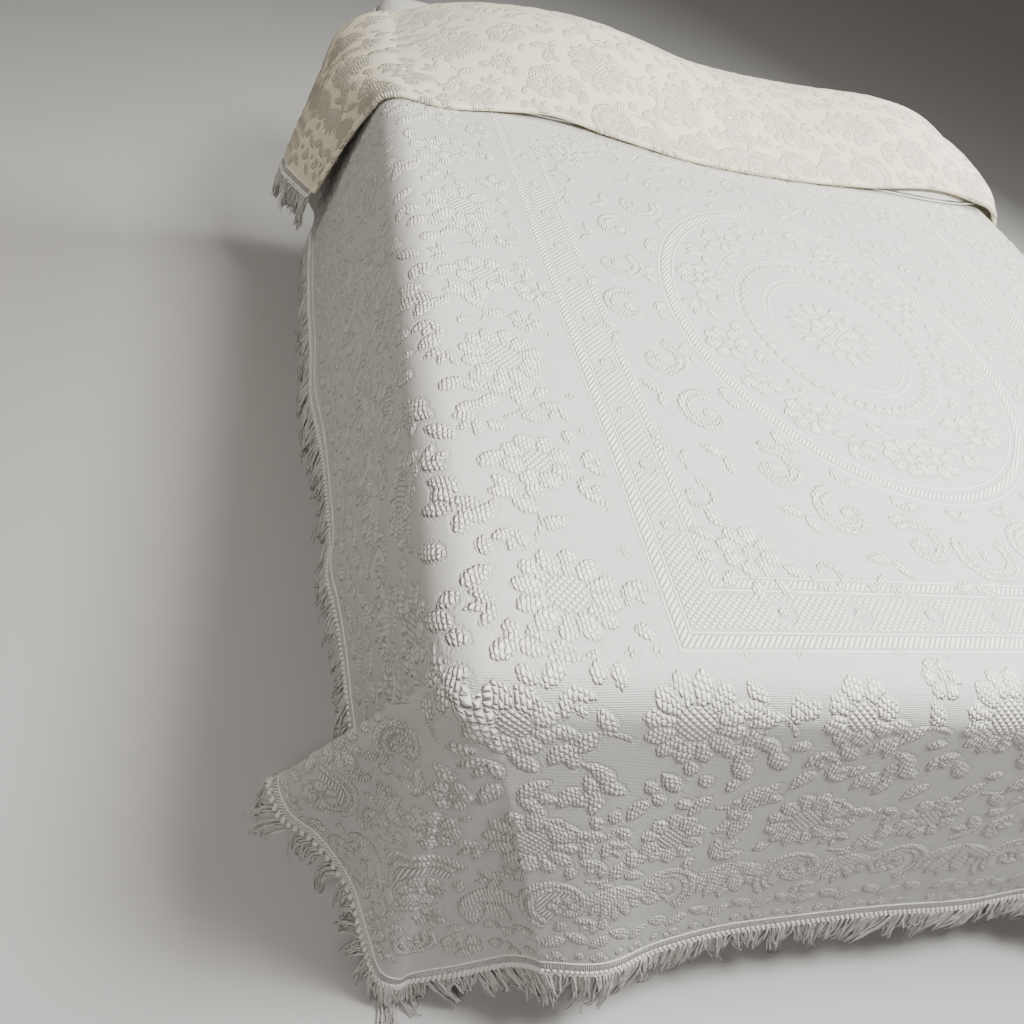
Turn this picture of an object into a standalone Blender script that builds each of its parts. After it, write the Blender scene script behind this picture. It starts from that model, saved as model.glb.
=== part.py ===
# A matelasse bedspread lying on a bed, with its head end folded back over two pillows.
# Metres, +Z up. The head of the bed is at +Y and the foot at -Y.
# The origin is on the floor, under the middle of the whole thing.
# The shape is worked out first with the foot edge of the mattress at y = 0.

import math
import random

import bmesh
import bpy
import numpy as np

# The bed
BED_HEIGHT = 0.74            # floor to the top of the mattress
BED_WIDTH = 1.52
BED_LENGTH = 2.03
MATTRESS_THICK = 0.28
BASE_THICK = 0.25
PLINTH_INSET = 0.10
PLINTH_CORNER = 0.03
PLINTH_EDGE = 0.004
PLAN_RADIUS = 0.07           # upright corners of mattress and base
EDGE_RADIUS = 0.050          # their top and bottom edges
SEAT_GAP = 0.0003            # between pieces that touch

# The cloth as it is cut
CLOTH_WIDTH = 2.41
CLOTH_LENGTH = 3.05
CLOTH_THICK = 0.003
HEM_THICK = 0.005            # the rolled edge
CORNER_ROUND = 0.13          # the two foot corners
CORNER_START = CLOTH_WIDTH / 2 - CORNER_ROUND
CORNER_LENGTH = CORNER_ROUND * math.pi / 2

# How it is laid: turned a little, so that it hangs lower at the foot on one side
SKEW = math.radians(2.2)
MIDDLE_Y = 0.74              # where the middle of the pattern lies on the bed
MIDDLE_B = 1.251             # its distance from the foot hem
TURN_RADIUS = 0.050          # of the cloth over the mattress edge
TOP_LEVEL = BED_HEIGHT + SEAT_GAP + CLOTH_THICK / 2
FALL_CLEAR = 0.014           # from the bed's sides to the middle of the cloth
SIDE_INSET = BED_WIDTH / 2 + FALL_CLEAR - TURN_RADIUS
FOOT_INSET = TURN_RADIUS - FALL_CLEAR
TURN_STEPS = 24              # in which the turn over an edge is worked out
LEAST_DOWN = 0.1             # a hanging metre falls at least this much

# The head end, folded back over the pillows
FOLD_LENGTH = 0.12           # cloth in the fold behind the pillows
FOLD_REACH = 0.03            # how far it stands out there
PILLOW_HEIGHT = 0.108
PILLOW_BULGE = 0.01          # how far the pillows push the cloth past the mattress
BULGE_GROWTH = 1.4           # how soon it reaches that, as a share of their height
OVER_TURN = 0.12             # turn radius of the upper layer there
OVER_SHIFT = 0.09            # how far its front edge is pulled to the right
UPPER_LAYER = 0.013          # folded-back cloth above the lower layer
TUCKED_LAYER = 0.005         # its end, turned under
TUCK_LENGTH = 0.03
ROLL_RADIUS = (UPPER_LAYER - TUCKED_LAYER) / 2
ROLL_START = CLOTH_LENGTH - TUCK_LENGTH - math.pi * ROLL_RADIUS

# How the cloth hangs, read off the rim of the bed. The station runs from the head down
# one side (-y), round the first foot corner (0 to 1), along the foot (1 to 2.52), round
# the second (2.52 to 3.52) and up the other side. out_x and out_y say how far the cloth
# swings out for each metre that it hangs.
SIDE_1 = 0.0
FOOT_1 = 1.0
FOOT_2 = 2.52
SIDE_2 = 3.52
HANG = [
    # station, out_x, out_y
    (-2.10, -0.17, 0.00),
    (-1.74, -0.175, 0.00),
    (-1.50, -0.19, 0.00),
    (-1.27, -0.19, 0.00),
    (-1.10, -0.18, 0.01),
    (-0.95, -0.18, 0.00),
    (-0.80, -0.14, 0.02),
    (-0.64, -0.115, 0.02),
    (-0.54, -0.105, 0.01),
    (-0.47, -0.12, 0.02),
    (-0.38, -0.09, 0.04),
    (-0.28, -0.065, 0.06),
    (-0.18, -0.05, 0.09),
    (-0.08, -0.03, 0.09),
    # the flared corner: a valley, a tall flute, a valley, and the corner of the cloth
    (0.02, -0.005, 0.05),
    (0.10, -0.05, 0.09),
    (0.18, -0.17, 0.19),
    (0.25, -0.285, 0.235),
    (0.32, -0.24, 0.165),
    (0.38, -0.13, 0.125),
    (0.43, -0.045, 0.05),
    (0.49, 0.005, -0.05),
    (0.55, 0.035, -0.10),
    (0.605, 0.07, -0.105),
    (0.66, 0.09, -0.095),
    (0.76, 0.19, -0.11),
    (0.88, 0.29, -0.13),
    # the foot
    (1.00, 0.34, -0.175),
    (1.12, 0.295, -0.19),
    (1.26, 0.225, -0.14),
    (1.40, 0.18, -0.105),
    (1.56, 0.14, -0.09),
    (1.74, 0.10, -0.08),
    (1.95, 0.05, -0.08),
    (2.15, 0.00, -0.06),
    (2.32, -0.04, -0.12),
    (2.50, -0.05, -0.24),
    # the other corner: one broad flute at its tip
    (2.62, -0.03, -0.17),
    (2.74, 0.02, -0.07),
    (2.83, 0.08, -0.18),
    (2.92, 0.20, -0.31),
    (3.02, 0.27, -0.27),
    (3.12, 0.31, -0.19),
    (3.21, 0.18, -0.07),
    (3.30, 0.07, -0.01),
    (3.42, 0.16, 0.04),
    (3.54, 0.22, 0.07),
    # the other side
    (3.68, 0.16, 0.05),
    (3.88, 0.10, 0.02),
    (4.10, 0.08, 0.00),
    (4.40, 0.12, -0.01),
    (4.75, 0.09, 0.00),
    (5.15, 0.12, 0.00),
    (5.62, 0.10, 0.00),
]
# The same for the part that is folded back over the pillows
HANG_OVER = [
    # station, out_x, out_y
    (-2.00, -0.18, 0.15),
    (-1.80, -0.21, 0.22),
    (-1.62, -0.235, 0.30),
    (-1.48, -0.25, 0.38),
    (-1.36, -0.26, 0.46),
    (-1.20, -0.26, 0.50),
    (4.70, 0.17, 0.15),
    (4.86, 0.20, 0.10),
    (5.05, 0.24, 0.05),
    (5.25, 0.20, 0.00),
    (5.60, 0.18, 0.00),
]
# The pillows under the cloth, across the bed
HUMP_ACROSS = [
    # x, share of the full height
    (-0.94, 0.0),
    (-0.81, 0.0),
    (-0.74, 0.12),
    (-0.66, 0.42),
    (-0.53, 0.80),
    (-0.40, 0.98),
    (-0.28, 1.0),
    (-0.17, 0.88),
    (0.00, 0.62),
    (0.17, 0.55),
    (0.36, 0.74),
    (0.52, 0.90),
    (0.63, 0.80),
    (0.72, 0.45),
    (0.80, 0.10),
    (0.94, 0.0),
]
# and along it
HUMP_ALONG = [
    # y, height
    (1.20, 0.0),
    (1.34, 0.0),
    (1.39, 0.006),
    (1.44, 0.030),
    (1.50, 0.066),
    (1.58, 0.096),
    (1.66, PILLOW_HEIGHT),
    (1.73, 0.102),
    (1.80, 0.080),
    (1.86, 0.052),
    (1.92, 0.030),
    (2.05, 0.02),
]
# The line where the cloth is folded back
FOLD_LINE = [
    # x, y
    (-1.25, 1.72),
    (-0.85, 1.725),
    (-0.70, 1.76),
    (-0.55, 1.81),
    (-0.30, 1.85),
    (1.25, 1.85),
]
# The front edge of the folded-back part
FRONT_EDGE = [
    # x, y
    (-1.25, 1.345),
    (-1.00, 1.375),
    (-0.86, 1.36),
    (-0.74, 1.345),
    (-0.62, 1.38),
    (-0.50, 1.40),
    (-0.37, 1.375),
    (-0.20, 1.34),
    (0.04, 1.35),
    (0.27, 1.39),
    (0.50, 1.43),
    (0.75, 1.42),
    (1.25, 1.41),
]

# The pillows
PILLOWS = [
    # name, middle x, half length
    ("pillow_left", -0.40, 0.37),
    ("pillow_right", 0.43, 0.36),
]
PILLOW_Y = 1.60
PILLOW_HALF_DEPTH = 0.195
PILLOW_SINK = 0.010          # from its crown to the cloth over it
PILLOW_CORNER = 3.2          # how square the outline is
PILLOW_SEAM = 0.42           # height of its seam, as a share of the pillow's
PILLOW_PLUMP = 6             # how far out its top stays full
PILLOW_RINGS = (0.30, 0.55, 0.75, 0.90, 1.0)
PILLOW_SIDES = 28

# The fringe: a braided heading with locks hanging from it
HEADING_GAP = 0.0004
HEADING_WIDTH = 0.014
LOCK_PITCH = 0.034
LOCK_LENGTH = 0.062
LOCK_UNEVEN = 0.008
LOCK_TIP = 0.30              # width of a lock's tip, as a share of its root
LOCK_SWAY = 0.06             # how far a lock leans along the edge
FREE_LEAN = 0.30             # how much of the cloth's slope a free lock keeps
LAID_LEAN = 1.15             # the same for a lock that lies on the cloth behind it
FRINGE_GAP = 0.004           # between the ends of two lengths of fringe
FRINGE_CLEAR = 0.03          # bare edge beside the fold and at the head end
HEM_END = CLOTH_LENGTH - TUCK_LENGTH - FRINGE_CLEAR
FOOT_FRINGE_UP = 0.62        # how far up the sides the foot's length of fringe reaches
SEED = 7

# The cloth's grid of lines, finer where it turns, falls and folds
LEVEL_ENDS = 0.68            # across, from the middle: the level top ends
FALL_BEGINS = 0.86           # and the plain fall begins
FINE_MARGIN = 0.09           # the finer lines go on for this much
FOOT_LINES = 0.14            # along: the plainest part of the foot's fall


def smooth(rows, at):
    """The columns after the first, read at a place on a smooth line through the rows."""
    table = np.array(rows, float)
    key, value = table[:, 0], table[:, 1:]
    slope = np.gradient(value, key, axis=0)
    at = np.clip(at, key[0], key[-1])
    i = np.clip(np.searchsorted(key, at, side="right") - 1, 0, len(key) - 2)
    step = key[i + 1] - key[i]
    s = ((at - key[i]) / step)[..., None]
    step = step[..., None]
    return ((1 + 2 * s) * (1 - s) ** 2 * value[i] + s * (1 - s) ** 2 * step * slope[i]
            + s * s * (3 - 2 * s) * value[i + 1] + s * s * (s - 1) * step * slope[i + 1])


def hump(x, y):
    """Height that the pillows add under the folded-back cloth."""
    return smooth(HUMP_ACROSS, x)[..., 0] * smooth(HUMP_ALONG, y)[..., 0]


def laid(a, b):
    """Where a point of the flat cloth lies over the bed before its edges fall."""
    x = a * np.cos(SKEW) - (b - MIDDLE_B) * np.sin(SKEW)
    y = MIDDLE_Y + a * np.sin(SKEW) + (b - MIDDLE_B) * np.cos(SKEW)
    return x, y


def draped(a, b, over):
    """The middle of one layer: on the mattress for over = 0, on the pillows for 1."""
    x, y = laid(a, b)
    share = over * smooth(HUMP_ALONG, y)[..., 0] / PILLOW_HEIGHT
    share = np.clip(BULGE_GROWTH * share, 0, 1)
    inset = SIDE_INSET + PILLOW_BULGE * share
    radius = TURN_RADIUS + (OVER_TURN - TURN_RADIUS) * share
    near_x = np.clip(x, -inset, inset)
    near_y = np.maximum(y, FOOT_INSET)
    dx, dy = x - near_x, y - near_y
    hanging = np.hypot(dx, dy)
    safe = np.maximum(hanging, 1e-9)
    level = np.stack([dx / safe, dy / safe, 0 * hanging], -1)

    corner = np.arctan2(-dy, np.abs(dx) + 1e-12) / (np.pi / 2)
    beside = near_y > FOOT_INSET + 1e-9
    left = np.where(beside, SIDE_1 - (y - FOOT_INSET), SIDE_1 + corner)
    right = np.where(beside, SIDE_2 + (y - FOOT_INSET), SIDE_2 - corner)
    foot = FOOT_1 + (x + SIDE_INSET) * (FOOT_2 - FOOT_1) / (2 * SIDE_INSET)
    station = np.where(x < -inset, left, np.where(x > inset, right, foot))
    out = smooth(HANG, station)
    out = out + over[..., None] * (smooth(HANG_OVER, station) - out)
    down = -np.sqrt(np.maximum(1 - (out ** 2).sum(-1), LEAST_DOWN ** 2))
    fall = np.concatenate([out, down[..., None]], -1)

    # from level to the fall along an arc of the turn radius, in small steps
    angle = np.arccos(np.clip((level * fall).sum(-1), -0.99, 0.99))
    point = np.stack([near_x, near_y, TOP_LEVEL + over * hump(near_x, near_y)], -1)
    for i in range(TURN_STEPS):
        done = np.clip((i + 0.5) * hanging / TURN_STEPS / (radius * angle), 0, 1)
        heading = (np.sin((1 - done) * angle)[..., None] * level
                   + np.sin(done * angle)[..., None] * fall) / np.sin(angle)[..., None]
        point = point + heading * (hanging / TURN_STEPS)[..., None]
    return point


def facing(a, b, over):
    """The direction out of the cloth on that layer."""
    near = 0.002
    across = draped(a + near, b, over) - draped(a - near, b, over)
    along = draped(a, b + near, over) - draped(a, b - near, over)
    n = np.cross(across, along)
    return n / np.linalg.norm(n, axis=-1)[..., None]


def across_bed(rows, a):
    """Distance from the foot hem at which the cloth meets a line over the bed."""
    x, _ = laid(a, MIDDLE_B + rows[0][1] - MIDDLE_Y)
    return MIDDLE_B + smooth(rows, x)[..., 0] - MIDDLE_Y - a * np.sin(SKEW)


def cloth(a, b):
    """The middle of the cloth for flat places a (across) and b (from the foot hem)."""
    a, b = np.broadcast_arrays(np.asarray(a, float), np.asarray(b, float))
    fold = across_bed(FOLD_LINE, a)
    front = across_bed(FRONT_EDGE, a)
    u = np.clip((b - fold) / FOLD_LENGTH, 0, 1)
    over = u * u * (3 - 2 * u)
    over_start = fold + FOLD_LENGTH
    v = np.clip((b - over_start) / (ROLL_START - over_start), 0, 1)
    roll = np.clip((b - ROLL_START) / ROLL_RADIUS, 0, np.pi)
    below = np.where(b < over_start,
                     np.minimum(b, fold) + FOLD_REACH * np.sin(np.pi * u),
                     fold + (front - fold) * v)
    below = below - ROLL_RADIUS * np.sin(roll) + np.maximum(b - CLOTH_LENGTH + TUCK_LENGTH, 0)
    lift = UPPER_LAYER * over - ROLL_RADIUS * (1 - np.cos(roll))
    a = a + OVER_SHIFT * v
    return draped(a, below, over) + facing(a, below, over) * lift[..., None]


def trimmed(a, b):
    """A place on the square-cut cloth, moved so that the two foot corners are round."""
    qx = (np.abs(a) - CORNER_START) / CORNER_ROUND
    qy = (CORNER_ROUND - b) / CORNER_ROUND
    squeeze = np.maximum(qx, qy) / np.maximum(np.hypot(qx, qy), 1e-9)
    squeeze = np.where((qx > 0) & (qy > 0), squeeze, 1)
    moved_a = np.sign(a) * (CORNER_START + qx * squeeze * CORNER_ROUND)
    return moved_a, CORNER_ROUND - qy * squeeze * CORNER_ROUND


def material(name, colour, roughness, metallic=0.0):
    made = bpy.data.materials.new(name)
    made.use_nodes = True
    shader = made.node_tree.nodes["Principled BSDF"]
    shader.inputs["Base Color"].default_value = (*colour, 1.0)
    shader.inputs["Roughness"].default_value = roughness
    shader.inputs["Metallic"].default_value = metallic
    return made


def add_object(name, mesh, finish, is_round=True):
    """Add a mesh to the scene as one sub-part."""
    mesh.materials.append(finish)
    if is_round:
        mesh.shade_smooth()
        mesh.set_sharp_from_angle(angle=math.radians(50))
    made = bpy.data.objects.new(name, mesh)
    bpy.context.scene.collection.objects.link(made)
    return made


def mesh_from(name, points, faces):
    mesh = bpy.data.meshes.new(name)
    mesh.from_pydata([tuple(p) for p in points], [], faces)
    mesh.update()
    return mesh


def rounded_block(name, width, length, bottom, top, finish, edge=EDGE_RADIUS, plan=PLAN_RADIUS):
    """A block centred across the bed, with round upright corners and soft edges."""
    bm = bmesh.new()
    bmesh.ops.create_cube(bm, size=1)
    for v in bm.verts:
        v.co.x *= width
        v.co.y = BED_LENGTH / 2 + v.co.y * length
        v.co.z = (bottom + top) / 2 + v.co.z * (top - bottom)
    upright = [e for e in bm.edges if abs(e.verts[0].co.z - e.verts[1].co.z) > 0.01]
    bmesh.ops.bevel(bm, geom=upright, offset=plan, segments=4, affect="EDGES", profile=0.5)
    rims = [e for e in bm.edges
            if len({round(v.co.z, 4) for v in e.verts}) == 1
            and len({round(f.normal.z, 2) for f in e.link_faces}) == 2]
    bmesh.ops.bevel(bm, geom=rims, offset=edge, segments=3, affect="EDGES", profile=0.5)
    mesh = bpy.data.meshes.new(name)
    bm.to_mesh(mesh)
    bm.free()
    return add_object(name, mesh, finish)


def pillow(name, middle, half_length, finish):
    """A plump pillow whose top follows the cloth over it."""
    floor = TOP_LEVEL + CLOTH_THICK / 2 + SEAT_GAP
    plump = UPPER_LAYER - CLOTH_THICK - SEAT_GAP - PILLOW_SINK
    turns = np.arange(PILLOW_SIDES) * 2 * np.pi / PILLOW_SIDES
    power = 2 / PILLOW_CORNER
    out_x = np.sign(np.cos(turns)) * np.abs(np.cos(turns)) ** power
    out_y = np.sign(np.sin(turns)) * np.abs(np.sin(turns)) ** power

    def ring(share, is_top):
        x = middle + half_length * share * out_x
        y = PILLOW_Y + PILLOW_HALF_DEPTH * share * out_y
        full = hump(x, y) + plump
        edge = PILLOW_SEAM * share ** PILLOW_PLUMP
        level = full * (1 - share ** PILLOW_PLUMP) + full * edge if is_top else full * edge
        return np.stack([x, y, floor + level], -1)

    crown = hump(np.array([middle]), np.array([PILLOW_Y]))[0]
    points = [(middle, PILLOW_Y, floor + crown + plump)]
    for share in PILLOW_RINGS:
        points += list(ring(share, True))
    for share in reversed(PILLOW_RINGS[:-1]):
        points += list(ring(share, False))
    points.append((middle, PILLOW_Y, floor))
    rings = 2 * len(PILLOW_RINGS) - 1
    faces = []
    for k in range(PILLOW_SIDES):
        n = (k + 1) % PILLOW_SIDES
        faces.append((0, 1 + k, 1 + n))
        for r in range(rings - 1):
            low, high = 1 + r * PILLOW_SIDES, 1 + (r + 1) * PILLOW_SIDES
            faces.append((low + k, high + k, high + n, low + n))
        last = 1 + (rings - 1) * PILLOW_SIDES
        faces.append((last + k, len(points) - 1, last + n))
    return add_object(name, mesh_from(name, points, faces), finish)


def lines(*runs):
    """Places along the cloth: each run is a start, an end and a count."""
    places = [np.linspace(start, end, count, endpoint=False) for start, end, count in runs]
    return np.concatenate(places + [[runs[-1][1]]])


def grid_lines():
    """The cloth's lines across (a) and along (b)."""
    half = CLOTH_WIDTH / 2
    fall = FALL_BEGINS
    side_begins = MIDDLE_B - MIDDLE_Y + FINE_MARGIN
    fold = MIDDLE_B + FOLD_LINE[-1][1] - MIDDLE_Y
    fold_begins = fold - FINE_MARGIN
    over_start = fold + FOLD_LENGTH
    roll_near = ROLL_START - FINE_MARGIN
    across = lines((-half, -fall - FINE_MARGIN, 6), (-fall - FINE_MARGIN, -LEVEL_ENDS, 14),
                   (-LEVEL_ENDS, LEVEL_ENDS, 14), (LEVEL_ENDS, fall, 7), (fall, half, 7))
    along = lines((0, FOOT_LINES, 4), (FOOT_LINES, side_begins, 20), (side_begins, fold_begins, 9),
                  (fold_begins, over_start, 7), (over_start, roll_near, 6),
                  (roll_near, ROLL_START, 3), (ROLL_START, CLOTH_LENGTH - TUCK_LENGTH, 3),
                  (CLOTH_LENGTH - TUCK_LENGTH, CLOTH_LENGTH, 1))
    return across, along


def sheet_grid():
    """The cloth's grid: flat places, middle points and directions out of the cloth."""
    a, b = trimmed(*np.meshgrid(*grid_lines()))
    middle = cloth(a, b)
    out = np.cross(np.gradient(middle, axis=1), np.gradient(middle, axis=0))
    return a, b, middle, out / np.linalg.norm(out, axis=-1)[..., None]


def bedspread(finish):
    """The cloth as one closed sheet."""
    a_lines, b_lines = grid_lines()
    a, b = np.meshgrid(a_lines, b_lines)
    cell_a = (a[1:, 1:] + a[:-1, :-1]) / 2
    cell_b = (b[1:, 1:] + b[:-1, :-1]) / 2
    cell_middle = cloth(*trimmed(cell_a, cell_b))
    a, b, middle, out = sheet_grid()

    # the rolled edge along the two sides and the foot is thicker
    half_thick = np.full(a.shape, CLOTH_THICK / 2)
    half_thick[0, :] = HEM_THICK / 2
    half_thick[b[:, 0] < HEM_END, 0] = HEM_THICK / 2
    half_thick[b[:, -1] < HEM_END, -1] = HEM_THICK / 2
    upper = middle + out * half_thick[..., None]
    lower = middle - out * half_thick[..., None]

    rows, columns = a.shape
    count = rows * columns
    points = np.concatenate([upper.reshape(-1, 3), lower.reshape(-1, 3)])
    faces = []
    for j in range(rows - 1):
        for i in range(columns - 1):
            k = j * columns + i
            cell = [k, k + 1, k + columns + 1, k + columns]
            # the diagonal that lies nearer to the cloth joins the first and the third
            rising = (middle[j + 1, i + 1] + middle[j, i]) / 2 - cell_middle[j, i]
            falling = (middle[j + 1, i] + middle[j, i + 1]) / 2 - cell_middle[j, i]
            if falling @ falling < rising @ rising:
                cell = cell[1:] + cell[:1]
            for p, q, r in (cell[:3], (cell[0], cell[2], cell[3])):
                faces.append((p, q, r))
                faces.append((count + r, count + q, count + p))
    border = list(range(columns))
    border += [j * columns + columns - 1 for j in range(1, rows)]
    border += [(rows - 1) * columns + i for i in range(columns - 2, -1, -1)]
    border += [j * columns for j in range(rows - 2, 0, -1)]
    for k, n in zip(border, border[1:] + border[:1]):
        faces.append((k, count + k, count + n))
        faces.append((k, count + n, n))
    return add_object("bedspread", mesh_from("bedspread", points, faces), finish)


def up_the_side(b):
    """A place along the fringed edge, by its distance from the foot hem.

    Places are measured along the edge from the middle of the foot, below 0 to the left."""
    return CORNER_START + CORNER_LENGTH + b - CORNER_ROUND


def rim():
    """The cloth's points on its fringed edge: place, point, direction out, way onwards."""
    def on_the_edge(grid):
        return np.concatenate([grid[::-1, 0], grid[0, 1:-1], grid[:, -1]])

    a, b, point, out = [on_the_edge(grid) for grid in sheet_grid()]
    side = np.sign(a)
    turn = np.clip(np.arctan2(np.abs(a) - CORNER_START, CORNER_ROUND - b), 0, np.pi / 2)
    place = np.where(b < CORNER_ROUND, CORNER_START + CORNER_ROUND * turn, up_the_side(b))
    place = side * np.where(turn > 0, place, np.abs(a))
    beyond = cloth(a + side * np.sin(turn) * HEADING_WIDTH, b - np.cos(turn) * HEADING_WIDTH)
    way = beyond - point
    return place, point, out, way / np.linalg.norm(way, axis=-1)[..., None]


def fringe(name, start, end, lean, finish, chance):
    """A heading that follows the edge, with a lock hanging from each length of it.

    The start and the end are places along the edge; lean is the slope that locks keep."""
    stations, point, out, way = rim()
    inside = [s for s in stations if start + LOCK_PITCH / 2 < s < end - LOCK_PITCH / 2]
    cuts = [start] + inside + [end]
    places = []
    for here, there in zip(cuts, cuts[1:]):
        locks = max(1, round((there - here) / LOCK_PITCH))
        places += list(np.linspace(here, there, locks, endpoint=False))
    places = np.array(places + [end])
    count = len(places)

    def at_places(values):
        return np.stack([np.interp(places, stations, values[:, axis]) for axis in range(3)], -1)

    inner = at_places(point) + at_places(way) * HEADING_GAP
    down = at_places(way) * HEADING_WIDTH
    outer = inner + down
    half = at_places(out) * HEM_THICK / 2
    run = np.gradient(inner, axis=0)

    points = []
    for k in range(count):
        points += [inner[k] + half[k], inner[k] - half[k], outer[k] - half[k], outer[k] + half[k]]
    faces = [(0, 1, 2, 3)]
    for k in range(count - 1):
        p, n = 4 * k, 4 * (k + 1)
        # the inner face has the same diagonals as the edge that it meets
        faces += [(p, n, n + 1), (p, n + 1, p + 1)]
        faces += [(p + 1, n + 1, n + 2, p + 2), (p, p + 3, n + 3, n)]
        root = [points[p + 2], points[n + 2], points[n + 3], points[p + 3]]
        middle = sum(root) / 4
        slant = down[k] + down[k + 1]
        slant = slant / np.linalg.norm(slant)
        way = np.array([0, 0, lean - 1.0]) * (lean < 1) + lean * slant
        way = way + run[k] / np.linalg.norm(run[k]) * chance.uniform(-LOCK_SWAY, LOCK_SWAY)
        way = way / np.linalg.norm(way)
        length = LOCK_LENGTH + chance.uniform(-LOCK_UNEVEN, LOCK_UNEVEN)
        tip = middle + way * length
        first = len(points)
        points += [tip + (corner - middle) * LOCK_TIP for corner in root]
        roots = [p + 2, n + 2, n + 3, p + 3]
        for i in range(4):
            m = (i + 1) % 4
            faces.append((roots[i], roots[m], first + m, first + i))
        faces.append((first, first + 1, first + 2, first + 3))
    last = 4 * (count - 1)
    faces.append((last + 3, last + 2, last + 1, last))
    mesh = mesh_from(name, points, faces)
    bm = bmesh.new()
    bm.from_mesh(mesh)
    bmesh.ops.triangulate(bm, faces=bm.faces)
    bmesh.ops.recalc_face_normals(bm, faces=bm.faces)
    bm.to_mesh(mesh)
    bm.free()
    return add_object(name, mesh, finish, is_round=False)


for old in list(bpy.data.objects):
    bpy.data.objects.remove(old, do_unlink=True)

white_cloth = material("white_cotton_cloth", (0.80, 0.79, 0.75), 0.88)
cream_yarn = material("cream_fringe_yarn", (0.74, 0.70, 0.62), 0.9)
ticking = material("plain_ticking", (0.70, 0.69, 0.66), 0.85)
base_cloth = material("plain_base_cover", (0.45, 0.43, 0.40), 0.9)
plinth_wood = material("painted_plinth", (0.20, 0.17, 0.14), 0.6)

mattress_bottom = BED_HEIGHT - MATTRESS_THICK
base_bottom = mattress_bottom - BASE_THICK
parts = [
    rounded_block("mattress", BED_WIDTH, BED_LENGTH, mattress_bottom, BED_HEIGHT, ticking),
    rounded_block("bed_base", BED_WIDTH, BED_LENGTH, base_bottom,
                  mattress_bottom - SEAT_GAP, base_cloth),
    rounded_block("plinth", BED_WIDTH - 2 * PLINTH_INSET, BED_LENGTH - 2 * PLINTH_INSET, 0,
                  base_bottom - SEAT_GAP, plinth_wood, edge=PLINTH_EDGE, plan=PLINTH_CORNER),
    bedspread(white_cloth),
]
parts += [pillow(name, middle, half_length, ticking) for name, middle, half_length in PILLOWS]

left_fold = float(across_bed(FOLD_LINE, np.array([-CLOTH_WIDTH / 2]))[0])
right_fold = float(across_bed(FOLD_LINE, np.array([CLOTH_WIDTH / 2]))[0])
foot_end = up_the_side(FOOT_FRINGE_UP)
over_end = up_the_side(HEM_END)
luck = random.Random(SEED)
runs = [
    # name, start, end, lean
    ("fringe_foot", -foot_end, foot_end, FREE_LEAN),
    ("fringe_left", -up_the_side(left_fold - FRINGE_CLEAR), -foot_end - FRINGE_GAP, FREE_LEAN),
    ("fringe_right", foot_end + FRINGE_GAP, up_the_side(right_fold - FRINGE_CLEAR), FREE_LEAN),
    ("fringe_over_left", -over_end, -up_the_side(left_fold + FOLD_LENGTH + FRINGE_CLEAR), LAID_LEAN),
    ("fringe_over_right", up_the_side(right_fold + FOLD_LENGTH + FRINGE_CLEAR), over_end, LAID_LEAN),
]
parts += [fringe(name, start, end, lean, cream_yarn, luck) for name, start, end, lean in runs]

# the origin goes on the floor under the middle of the whole
corners = np.array([v.co for made in parts for v in made.data.vertices])
middle_x, middle_y, _ = (corners.min(0) + corners.max(0)) / 2
bed = bpy.data.objects.new("bed", None)
bpy.context.scene.collection.objects.link(bed)
bed.location = (-middle_x, -middle_y, 0)
for made in parts:
    made.parent = bed
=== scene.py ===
# A white matelasse bedspread on a plain bed. Its head end is folded back over two pillows, and
# a fringe runs round its sides and its foot. Metres, +Z up, the head of the bed at +Y.
import math
import random

import bpy
import numpy as np
from mathutils import Matrix, Vector


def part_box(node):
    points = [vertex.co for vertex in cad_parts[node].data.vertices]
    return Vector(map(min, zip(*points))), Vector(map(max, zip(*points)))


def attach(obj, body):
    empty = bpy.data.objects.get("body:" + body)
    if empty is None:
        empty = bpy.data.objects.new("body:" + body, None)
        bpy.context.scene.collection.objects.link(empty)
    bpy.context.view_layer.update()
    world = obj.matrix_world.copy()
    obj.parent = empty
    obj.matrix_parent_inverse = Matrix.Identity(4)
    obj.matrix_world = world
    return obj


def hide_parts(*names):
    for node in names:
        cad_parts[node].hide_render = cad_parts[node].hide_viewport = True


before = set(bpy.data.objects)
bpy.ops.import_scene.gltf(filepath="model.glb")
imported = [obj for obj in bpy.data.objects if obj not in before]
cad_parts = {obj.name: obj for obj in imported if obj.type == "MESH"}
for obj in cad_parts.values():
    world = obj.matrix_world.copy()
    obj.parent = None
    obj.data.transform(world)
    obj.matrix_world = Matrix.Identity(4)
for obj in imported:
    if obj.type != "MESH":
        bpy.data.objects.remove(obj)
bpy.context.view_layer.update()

# The room: a pale floor, soft studio light, and the camera at one foot corner of the bed.
# Places are given from the middle of the mattress's foot edge, on the floor.
mattress_low, mattress_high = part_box("mattress")
BED_PLACE = np.array([(mattress_low.x + mattress_high.x) / 2, mattress_low.y, 0.0])

bpy.ops.object.select_all(action="DESELECT")
bpy.ops.mesh.primitive_plane_add(size=30, location=(0, 0, 0))
floor = bpy.context.object
floor.name = "studio_floor"


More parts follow.
